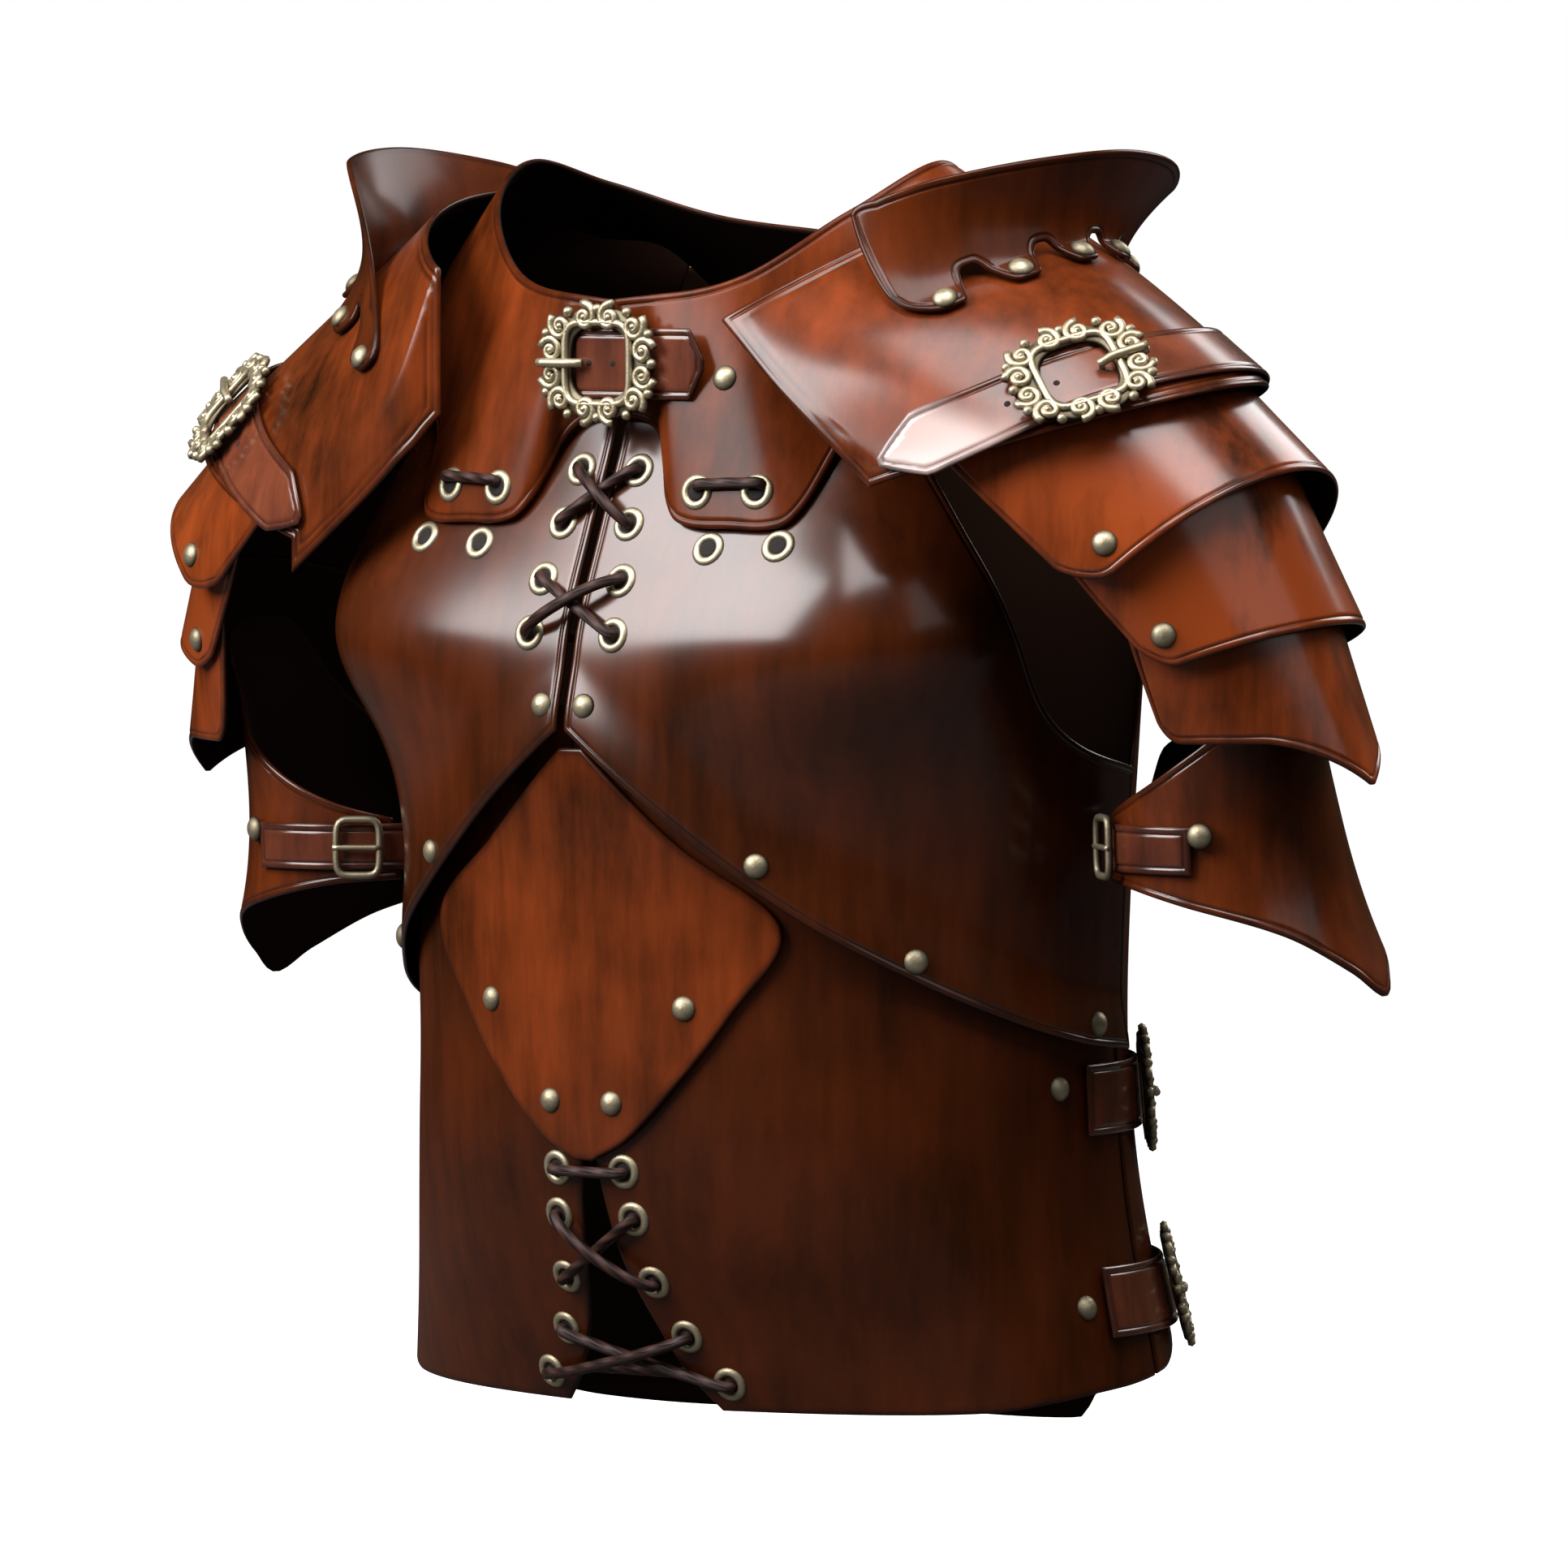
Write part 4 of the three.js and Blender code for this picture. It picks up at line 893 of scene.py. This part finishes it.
def back_plate():
    def place(u, v):
        turn = mix(BACK_SIDE, 360 - BACK_SIDE, u)
        top = follow(BACK_TOP, "turn", "z", 180 - np.abs(turn - 180))
        return turn, mix(follow(BACK_BOTTOM, "turn", "z", turn), top, v)

    return plate(torso, from_axis, place, grid_steps(370, 90), grid_steps(340, 60), 0.0, ())


def gorget():
    near = 0.8 + BORDER_STEPS / 1.9
    half = np.concatenate([near, np.linspace(near[-1], 50, 110)[1:], np.linspace(50, 180, 66)[1:]])
    turns = np.concatenate([half, 360 - half[-2::-1]])

    def place(u, v):
        return u, v * follow(GORGET_REACH, "turn", "share", from_front(u))

    return plate(gorget_surface, from_axis, place, turns, grid_steps(85, 24), 0.0)


# Shoulder plates
def shoulder_cap(side):
    def place(u, v):
        return mix(*CAP_WRAP[side], u), v

    return plate(hanging_cap(side), from_arm, place, grid_steps(250, 80), grid_steps(150, 46), 0.0, TWO_LINES)


def hanging_cap(side):
    """The cap, which on the right hangs straight down in front from where its half ring ends; the turn past
    that end stands for the drop."""
    cap = cap_surface(side)
    if side == "left":
        return cap

    def surface(turn, at):
        below = np.maximum(0, -90 - turn) / CAP_APRON_TURN
        return cap(np.maximum(turn, -90), at) - joined(0, 0, below * follow(CAP_APRON, "at", "drop", at))

    return surface


def lame(row, side):
    """Plate between two rings; the lowest one is drawn down to a point by a power of the turn, and the lower
    corners are rounded by an ellipse over the last eighth."""

    def place(u, v):
        wrap = mix(LAMES["wrapUpper"][row], LAMES["wrapLower"][row], v)
        turn = wrap * (2 * u - 1)
        near = np.maximum(0, 1 - np.abs(turn) / LAME_POINT["half"])
        point = LAMES["tip"][row] * near ** LAME_POINT["power"]
        corner = np.clip(1 - (1 - np.abs(2 * u - 1)) / LAME_CORNER["share"], 0, 1)
        return turn, v * (1 + point - LAME_CORNER["depth"] * (1 - np.sqrt(1 - 0.98 * corner**2)))

    return plate(lame_surface(row, side), from_arm, place, grid_steps(190, 70), grid_steps(75, 24), 0.0)


def arm_guard(side):
    def place(u, v):
        away = ARM_WRAP * (2 * u - 1)
        edges = [follow(ARM_EDGES, "away", name, away) for name in ("bottom", "top")]
        return ARM_TIP + away, mix(*edges, v)

    return plate(arm_surface(side), from_sleeve, place, grid_steps(230, 90), grid_steps(90, 34), 0.0)


def neck_guard(side):
    """Tabs on the cap with round arches between them, each a fourth-power bell; to the front end the lower
    edge climbs by a square and the rim falls by a quarter circle. Grid lines are level above the tabs."""
    front = GUARD[side]["front"]
    share, level = GUARD_LEVEL["share"], GUARD_LEVEL["height"]

    def place(u, v):
        a = mix(front, 1, u)
        arch = sum(np.exp(-(((a - middle) / GUARD_ARCH["half"]) ** 4)) for middle in GUARD_ARCHES)
        to_end = np.clip((GUARD_END["start"] - a) / (GUARD_END["start"] - front), 0, 1)
        low = mix(mix(GUARD_ARCH["low"], GUARD_ARCH["high"], arch), GUARD_END["low"], to_end**2)
        top = mix(GUARD_END["top"], 1.0, np.sqrt(1 - 0.97 * to_end**2))
        return a, np.where(v < share, mix(low, level, v / share), mix(level, top, (v - share) / (1 - share)))

    return plate(guard_surface(side), from_neck, place, grid_steps(170, 220), grid_steps(70, 40), 0.0)


# Straps
def shoulder_strap_path(side):
    def path(t):
        turn = mix(*SHOULDER_STRAP_ENDS[side], t)
        return turn, follow(SHOULDER_STRAP, "turn", "at", turn)

    return path


def gorget_strap_path(t):
    return mix(GORGET_STRAP["start"], GORGET_STRAP["end"], t), np.full_like(t, GORGET_STRAP["z"])


def side_strap_path(z):
    return lambda t: (mix(SIDE_STRAP["start"], SIDE_STRAP["end"], t), np.full_like(t, z))


def arm_strap_path(t):
    return mix(ARM_STRAP["start"], ARM_STRAP["end"], t), np.full_like(t, ARM_STRAP["z"])


# Brass
def superellipse(angle, length, width, power=3):
    """Rounded rectangle: the sum of the powers of the two shares of the half sizes is one."""
    square = (np.abs(np.cos(angle)) ** power + np.abs(np.sin(angle)) ** power) ** (-1 / power)
    return joined(length / 2 * np.cos(angle) * square, width / 2 * np.sin(angle) * square, 0 * angle)


def ball(radius, rise):
    turn = np.linspace(np.pi / 2, -np.pi / 2, 6)
    return turned(np.stack([np.maximum(radius * np.cos(turn), TIP), radius * np.sin(turn) + rise], -1), 8)


def scroll(radius, turns, hand):
    """Volute: the radius shrinks evenly along the angle while the wire grows thinner to its eye."""
    t = np.linspace(0, 1, 26)
    angle = hand * 2 * np.pi * turns * t
    reach = mix(radius, 0.9, t**0.8)
    path = joined(reach * np.cos(angle), reach * np.sin(angle), 2.2 + 0.8 * t)
    return tube(path, mix(1.7, 1.15, t), UPWARD, 6)[:2]


def ring_plate(length, width, opening, height):
    """Flat ring between a scalloped outside and a rounded square opening, on a closed section."""
    angle = np.linspace(0, 2 * np.pi, 97)[:-1]
    outside = superellipse(angle, length, width) * (1 + 0.05 * np.cos(10 * angle))[:, None]
    inside = superellipse(angle, opening, opening)
    rise = np.array([0, 0, height])
    loops = [inside, outside, mix(outside, inside, 0.1) + rise, mix(outside, inside, 0.92) + rise]
    points = np.stack(loops, 1)
    index = np.arange(points.shape[0] * 4).reshape(-1, 4)
    ahead = np.roll(index, -1, 0)
    faces = np.stack([index, ahead, np.roll(ahead, -1, 1), np.roll(index, -1, 1)], -1)
    return points.reshape(-1, 3), faces.reshape(-1, 4)


def volutes():
    """Scrolls around the buckle, turned to alternate hands, with a ball in each eye."""
    count = VOLUTES["count"]
    stations = (np.arange(count) + 0.5) / count * 2 * np.pi
    places = superellipse(stations, BUCKLE["length"] - 13.5, BUCKLE["width"] - 12)
    parts = []
    for station, place, hand in zip(stations, places, np.resize([1, -1], count)):
        cosine, sine = np.cos(station), np.sin(station)
        turn = np.array([[cosine, sine, 0], [-sine, cosine, 0], [0, 0, 1]])
        points, faces = scroll(VOLUTES["radius"], VOLUTES["turns"], hand)
        parts.append((points @ turn + place, faces))
        points, faces = ball(VOLUTES["eye"], 3.0)
        parts.append((points + place, faces))
    return parts


def scroll_buckle():
    """Scroll buckle lying in its own plane: a ring plate, an inner wire frame, the volutes with beads between
    them, and a short prong on the near side."""
    length, width, opening = BUCKLE["length"], BUCKLE["width"], BUCKLE["opening"]
    loop = np.linspace(0, 2 * np.pi, 73)[:-1]
    frame_path = superellipse(loop, opening + 4, opening + 4, 5) + np.array([0, 0, 2.4])
    parts = [ring_plate(length - 8, width - 7, opening, 1.6)]
    parts.append(tube(frame_path, 1.5, UPWARD, 8, closed=True)[:2])
    parts += volutes()
    between = np.arange(VOLUTES["count"]) / VOLUTES["count"] * 2 * np.pi
    for bead in superellipse(between, length - 6, width - 6):
        points, faces = ball(2.1, 2.2)
        parts.append((points + bead, faces))
    prong = np.linspace(-length / 2 + 2, -opening / 2 + 6, 9)
    prong_path = joined(prong, 0 * prong, 4.6 - 2.4 * smooth(-opening / 2 - 1, -opening / 2 + 6, prong))
    parts.append(tube(prong_path, 1.7, ACROSS, 8)[:2])
    return gathered(*parts)


def plain_buckle():
    """Small rounded loop of wire with a prong across it."""
    loop = np.linspace(0, 2 * np.pi, 49)[:-1]
    length, width = ARM_BUCKLE["length"], ARM_BUCKLE["width"]
    frame_path = superellipse(loop, length - 3, width - 3, 5) + np.array([0, 0, 1.4])
    prong = np.linspace(-length / 2 + 1, length / 2, 9)
    prong_path = joined(prong, 0 * prong, np.full_like(prong, 2.2))
    wire = tube(frame_path, 1.5, UPWARD, 8, closed=True)[:2]
    return gathered(wire, tube(prong_path, 1.1, ACROSS, 8)[:2])


def buckle_frame(surface, out, path, at, lift):
    """Where a buckle lies: its place, and its axes along the strap, across it and outward."""
    at = np.array(at)
    point, normal = lifted(surface, *path(at), lift, out)
    ahead = surface(*path(at + 0.01)) - surface(*path(at - 0.01))
    across = unit(np.cross(normal, ahead))
    return point, np.stack([np.cross(across, normal), across, normal])


def add_buckle(node, shape, place, side="left", drop=0.0):
    point, axes = place
    points = shape[0] @ axes + point - np.array([0, 0, drop])
    faces = shape[1]
    if side == "right":
        points, faces = points * np.array([-1, 1, 1]), faces[:, ::-1]
    relief = np.clip(shape[0][:, 2] / BUCKLE_RELIEF, 0, 1)
    mesh = new_mesh(node + "_cast", points, faces, relief=relief)
    add_piece(mesh, BRASS, "brass", node)


RIVET = turned([(TIP, 2.5), (1.6, 2.35), (3.1, 1.8), (4.3, 0.9), (4.9, 0.1), (5.0, -0.6)], 16)
EYELET = turned([(3.3, -1.4), (3.4, 0.1), (4.0, 0.9), (5.0, 1.25), (6.1, 0.9), (6.9, 0.15), (7.0, -0.5)], 20)
WELL = turned([(TIP, 0.25), (2.0, 0.24), (3.6, 0.2), (3.6, -0.4)], 16)
HOLE = turned([(TIP, 0.14), (1.2, 0.12), (1.5, -0.3)], 12)


def add_stamped(name, shape, places, material, slot, height):
    """One piece of many small copies; relief is each point's height on its own copy."""
    points = np.concatenate([place[0].reshape(-1, 3) for place in places])
    normals = np.concatenate([place[1].reshape(-1, 3) for place in places])
    spots, faces = stamped(shape, *standing(points, normals))
    relief = np.tile(np.clip((shape[0][:, 2] + 0.6) / height, 0, 1), len(points))
    add_piece(new_mesh(name, spots, faces, relief=relief), material, slot)


# Laces
def torso_spot(table, sign, lift):
    """Places on the torso given by the distance from the middle and the height."""
    turn = np.degrees(np.arcsin(sign * table["x"] / follow(TORSO, "z", "half", table["z"])))
    return lifted(torso, turn, table["z"], lift, from_axis)


def lace_course(stops, spare):
    """Course of a lace: out of or into each eyelet along its normal, then over to the next one in a bow."""
    away = PLATE / 2 + LACE_ROUND / 2 + spare
    course = []
    for (point, normal, outward, over), (far_point, far_normal, _, _) in zip(stops, stops[1:] + stops[:1]):
        step = 1 if outward else -1
        start, far = point + normal * step * away, far_point + far_normal * step * away
        course += [point - normal * step * away, point, start]
        t = np.array([0.2, 0.5, 0.8])[:, None]
        bow = (over or away * 0.35) * np.sqrt(np.sin(np.pi * t))
        course += list(mix(start, far, t) + unit(normal + far_normal) * step * bow)
    return np.array(course)


def rounded_course(course, fine=6):
    """Closed curve through points: a Catmull-Rom cubic on each stretch."""
    before, start, end, after = (np.roll(course, shift, 0)[:, None] for shift in (1, 0, -1, -2))
    t = (np.arange(fine) / fine)[None, :, None]
    curve = start + 0.5 * t * (end - before) + t**2 * (before - 2.5 * start + 2 * end - 0.5 * after)
    return (curve + t**3 * (1.5 * (start - end) + 0.5 * (after - before))).reshape(-1, 3)


def crossed_stops(table, lift, pairs):
    """Eyelets in the order of a crossed lace: down one way and back up the other, over the first."""
    left, right = (list(zip(*torso_spot(table, sign, lift))) for sign in (1, -1))
    there, back = [], []
    for step, (upper, lower) in enumerate(pairs):
        near, far = (left, right) if step % 2 == 0 else (right, left)
        there += [(*near[upper], True, None), (*far[lower], False, None)]
        back = [(*near[lower], True, LACE_ROUND + 1.2), (*far[upper], False, None)] + back
    return there + back


def tab_course(sign):
    """Short loop through the two eyelets of a tab, in front of the gorget and behind the breast plate."""
    points, normals = torso_spot(TAB_LACE, sign, 2 * LAYER + PLATE / 2)
    t = np.array([0, 0.25, 0.5, 0.75, 1.0])[:, None]
    front = 2 * LAYER + 1 + LACE_ROUND / 2 + 0.8 + 0.9 * np.sin(np.pi * t)
    behind = PLATE / 2 + LACE_ROUND / 2 + 1 + 0.9 * np.sin(np.pi * t)
    lean = unit(mix(normals[0], normals[1], t))
    ahead, back = mix(points[0], points[1], t), mix(points[1], points[0], t)
    return np.concatenate([ahead + lean * front, points[1:], back - lean[::-1] * behind, points[:1]])


def add_lace(node, course):
    points, faces, uv = tube(rounded_course(course), LACE_ROUND / 2, UPWARD, 10, closed=True)
    add_piece(new_mesh(node + "_cord", points, faces, uv), CORD, "lace", node)


# Build: the finish of each plate is how much of the light dye it took, its shine, and how plain its flesh
# side is. The dye share is partly the plates' own dye and partly painted light and shade: the lames take more
# to stand in for light that the lamps don't give them, and the belly plates less for the shade on them
FINISH_AND_PAINTED_LIGHT = dict(
    breast_plate=(0.34, 1.7, 1.0), belly_plate=(0.28, 0.8, 1.0), stomacher=(0.82, 0.9, 1.0),
    back_plate=(0.6, 1.4, 1.0), gorget=(0.8, 0.4, 1.0), shoulder_cap=(0.9, 1.3, 1.0),
    neck_guard=(0.4, 0.7, 0.2), lame_2=(1.5, 1.8, 1.0), lame_3=(2.2, 1.8, 1.0), lame_4=(1.3, 1.7, 1.0),
    arm_guard=(0.72, 1.4, 1.0),
)
# The left shoulder strap's end has a painted highlight: a pale colour that stands in for light shining on it
PAINTED_HIGHLIGHT_END = dict(left=0.75, right=0.0)


def add_leather(node, wall):
    finish = FINISH_AND_PAINTED_LIGHT[node.removesuffix("_left").removesuffix("_right")]
    add_piece(wall_mesh(node + "_hide", wall, *finish), PLATE_LEATHER, "leather", node)


def add_strap(node, wall, painted_highlight=0.0):
    """Strap of one finish; a painted highlight on the end, a pale colour standing in for light shining on it,
    begins where the buckle ends, at about three quarters of its length.
    """
    wall["painted_highlight"] = painted_highlight * smooth(0.7, 0.8, wall["across"] / wall["across"].max())
    add_piece(wall_mesh(node + "_hide", wall), STRAP_LEATHER, "strap", node)


def build_torso():
    for label, sign in (("left", 1), ("right", -1)):
        add_leather(f"breast_plate_{label}", breast_plate(sign))
        add_leather(f"belly_plate_{label}", belly_plate(sign))
    add_leather("stomacher", stomacher())
    add_leather("back_plate", back_plate())
    add_leather("gorget", gorget())
    length = GORGET_STRAP["end"] - GORGET_STRAP["start"]
    add_strap("gorget_strap", strap(collar_front, from_axis, gorget_strap_path, length, 0.0, pointed=True))
    at = (GORGET_STRAP["buckle"] - GORGET_STRAP["start"]) / length
    place = buckle_frame(collar_front, from_axis, gorget_strap_path, at, STRAP + SEAT)
    add_buckle("gorget_buckle", scroll_buckle(), place)


def build_shoulder(side):
    add_leather(f"shoulder_cap_{side}", mirrored(shoulder_cap(side), side))
    add_leather(f"neck_guard_{side}", mirrored(neck_guard(side), side))
    for row, name in enumerate(LAME_NAMES):
        add_leather(f"{name}_{side}", mirrored(lame(row, side), side))
    add_leather(f"arm_guard_{side}", mirrored(dropped(arm_guard(side), side), side))


def build_shoulder_strap(side):
    cap, path = hanging_cap(side), shoulder_strap_path(side)
    over_cap = strap(cap, from_arm, path, SHOULDER_STRAP_LENGTH, LAYER, pointed=True)
    add_strap(f"shoulder_strap_{side}", mirrored(over_cap, side), PAINTED_HIGHLIGHT_END[side])
    start, end = SHOULDER_STRAP_ENDS[side]
    at = (SHOULDER_BUCKLE_TURN - start) / (end - start)
    place = buckle_frame(cap, from_arm, path, at, LAYER + STRAP + SEAT)
    add_buckle(f"shoulder_buckle_{side}", scroll_buckle(), place, side)


def build_arm_strap(side):
    sleeve = arm_surface(side)
    round_arm = strap(sleeve, from_sleeve, arm_strap_path, ARM_STRAP["length"], LAYER, ARM_STRAP["width"])
    add_strap(f"arm_strap_{side}", mirrored(dropped(round_arm, side), side))
    at = (ARM_STRAP["buckle"] - ARM_STRAP["start"]) / (ARM_STRAP["end"] - ARM_STRAP["start"])
    place = buckle_frame(sleeve, from_sleeve, arm_strap_path, at, LAYER + STRAP + SEAT)
    add_buckle(f"arm_buckle_{side}", plain_buckle(), place, side, DROP[side])


def build_side_straps(side):
    at = (SIDE_STRAP["buckle"] - SIDE_STRAP["start"]) / (SIDE_STRAP["end"] - SIDE_STRAP["start"])
    lift = LAYER + SIDE_STRAP["lift"]
    for level, z in SIDE_STRAPS.items():
        path = side_strap_path(z)
        round_side = strap(torso, from_axis, path, SIDE_STRAP["length"], lift)
        add_strap(f"side_strap_{level}_{side}", mirrored(round_side, side))
        place = buckle_frame(torso, from_axis, path, at, lift + STRAP + SEAT)
        add_buckle(f"side_buckle_{level}_{side}", scroll_buckle(), place, side)


def build_laces():
    breast = crossed_stops(BREAST_EYELETS, 2 * LAYER + PLATE / 2, [(0, 1), (2, 3)])
    add_lace("breast_lace", lace_course(breast, 0.3))
    belly = crossed_stops(BELLY_EYELETS, PLATE / 2, [(1, 2), (3, 4)])
    top = {key: value[:1] for key, value in BELLY_EYELETS.items()}
    for sign, outward in ((-1, True), (1, False)):
        point, normal = torso_spot(top, sign, PLATE / 2)
        belly.append((point[0], normal[0], outward, None))
    add_lace("belly_lace", lace_course(belly, 0.7))
    for label, sign in (("left", 1), ("right", -1)):
        add_lace(f"tab_lace_{label}", tab_course(sign))


def build_eyelets():
    on_breast = BREAST_LIFT + PLATE
    layers = ((BREAST_EYELETS, on_breast), (BELLY_EYELETS, PLATE), (FREE_EYELETS, on_breast))
    places = [torso_spot(table, sign, lift) for table, lift in layers for sign in (1, -1)]
    turn, share = TAB_EYELETS["turn"], TAB_EYELETS["share"]
    places += [lifted(gorget_surface, sign * turn, share, PLATE, from_axis) for sign in (1, -1)]
    add_stamped("eyelets", EYELET, places, BRASS, "brass", 1.6)
    add_stamped("eyelet_wells", WELL, places, SHADE, "lace", 1.0)


def on_side(place, side, drop=0.0):
    """A place of the left shoulder, or the same turned over in X and let down on the right."""
    points, normals = place
    if side == "left":
        return points, normals
    flip = np.array([-1, 1, 1])
    return (points - np.array([0, 0, drop])) * flip, normals * flip


def breast_rivets(sign):
    turn, z = BREAST_RIVETS["turn"], BREAST_RIVETS["z"]
    bottom, top = follow(BREAST_BOTTOM, "turn", "z", turn), follow(BREAST_TOP, "turn", "z", turn)
    lift = breast_lift(turn, (z - bottom) / (top - bottom)) + PLATE
    return lifted(torso, sign * turn, z, lift, from_axis)


def shoulder_rivets(side):
    tabs = np.array(GUARD_TABS)
    on_tabs = lifted(guard_surface(side), tabs, np.full_like(tabs, GUARD_RIVET), PLATE, from_neck)
    places = [on_side(on_tabs, side)]
    for row in range(len(LAME_NAMES) - 1):
        turn = LAME_RIVETS["turn"][row] * np.array([1.0, -1.0])
        at = np.full(2, LAME_RIVETS["at"][row])
        places.append(on_side(lifted(lame_surface(row, side), turn, at, PLATE, from_arm), side))
    turn, z = (np.array([value]) for value in ARM_RIVET)
    places.append(on_side(lifted(arm_surface(side), turn, z, LAYER + STRAP, from_sleeve), side, DROP[side]))
    return places


def build_rivets():
    places = [place for side in ("left", "right") for place in shoulder_rivets(side)]
    for sign in (1, -1):
        places.append(breast_rivets(sign))
        for table, lift in ((STOMACHER_RIVETS, STOMACHER_LIFT + PLATE), (SIDE_RIVETS, PLATE)):
            places.append(lifted(torso, sign * table["turn"], table["z"], lift, from_axis))
    turn, share = (np.array([value]) for value in GORGET_RIVET)
    places.append(lifted(gorget_surface, turn, share, PLATE, from_axis))
    add_stamped("rivets", RIVET, places, BRASS, "brass", 3.1)


def build_holes():
    places = [lifted(collar_front, *gorget_strap_path(np.array(GORGET_HOLES)), STRAP, from_axis)]
    for side in ("left", "right"):
        turn = np.array(SHOULDER_HOLES, float)
        at = follow(SHOULDER_STRAP, "turn", "at", turn)
        places.append(on_side(lifted(cap_surface(side), turn, at, LAYER + STRAP, from_arm), side))
    add_stamped("strap_holes", HOLE, places, SHADE, "strap", 1.0)


def build_stage():
    """White floor and white surroundings for the camera; the leather itself sees dim olive surroundings."""
    bpy.ops.mesh.primitive_plane_add(size=FLOOR_SIZE, location=(0, 0, FLOOR_Z * MM))
    floor = bpy.context.object
    floor.name = "floor"
    floor.data.materials.append(pale_floor())
    world = bpy.data.worlds.new("studio")
    bpy.context.scene.world = world
    world.use_nodes = True
    tree = world.node_tree
    seen = tree.nodes.new("ShaderNodeLightPath").outputs["Is Camera Ray"]
    background = tree.nodes["Background"].inputs
    put(tree, background["Color"], blend(tree, seen, (1, 0.9, 0.5, 1), (1, 1, 1, 1)))
    put(tree, background["Strength"], ranged(tree, seen, 0.0, 1.0, SURROUNDINGS, 1.0))
    bpy.context.scene.view_settings.view_transform = "Standard"


def directions():
    """The camera's right and the way back to it, from its azimuth and elevation."""
    azimuth, elevation = np.radians(VIEW["azimuth"]), np.radians(VIEW["elevation"])
    right = np.array([np.cos(azimuth), np.sin(azimuth), 0])
    level = np.array([np.sin(azimuth), -np.cos(azimuth), 0])
    return right, level, level * np.cos(elevation) + np.array([0, 0, np.sin(elevation)])


def build_camera():
    right, _, back = directions()
    target = np.array([0, 0, VIEW["height"]]) + VIEW["aside"] * right
    lens = bpy.data.cameras.new("camera")
    lens.sensor_width = 36
    lens.lens = VIEW["lens"]
    lens.clip_end = 200
    camera = bpy.data.objects.new("camera", lens)
    camera.location = Vector((target + VIEW["distance"] * back) * MM)
    camera.rotation_euler = Vector(-back).to_track_quat("-Z", "Y").to_euler()
    bpy.context.collection.objects.link(camera)
    bpy.context.scene.camera = camera


def build_lights():
    right, level, _ = directions()
    for row in range(len(LIGHTS["right"])):
        light = bpy.data.lights.new(f"soft_box_{row}", "AREA")
        light.shape = "RECTANGLE"
        light.size = LIGHTS["wide"][row]
        light.size_y = LIGHTS["tall"][row]
        light.energy = LIGHTS["power"][row]
        box = bpy.data.objects.new(light.name, light)
        place = right * LIGHTS["right"][row] + level * LIGHTS["near"][row]
        place = place + np.array([0, 0, LIGHTS["up"][row]])
        box.location = Vector(place)
        aim = Vector(LIGHTS_AIM) - Vector(place)
        box.rotation_euler = aim.to_track_quat("-Z", "Y").to_euler()
        bpy.context.collection.objects.link(box)


build_camera()
build_torso()
for shoulder_side in ("left", "right"):
    build_shoulder(shoulder_side)
    build_shoulder_strap(shoulder_side)
    build_arm_strap(shoulder_side)
    build_side_straps(shoulder_side)
build_laces()
build_eyelets()
build_rivets()
build_holes()
build_lights()
build_stage()

bpy.context.view_layer.update()
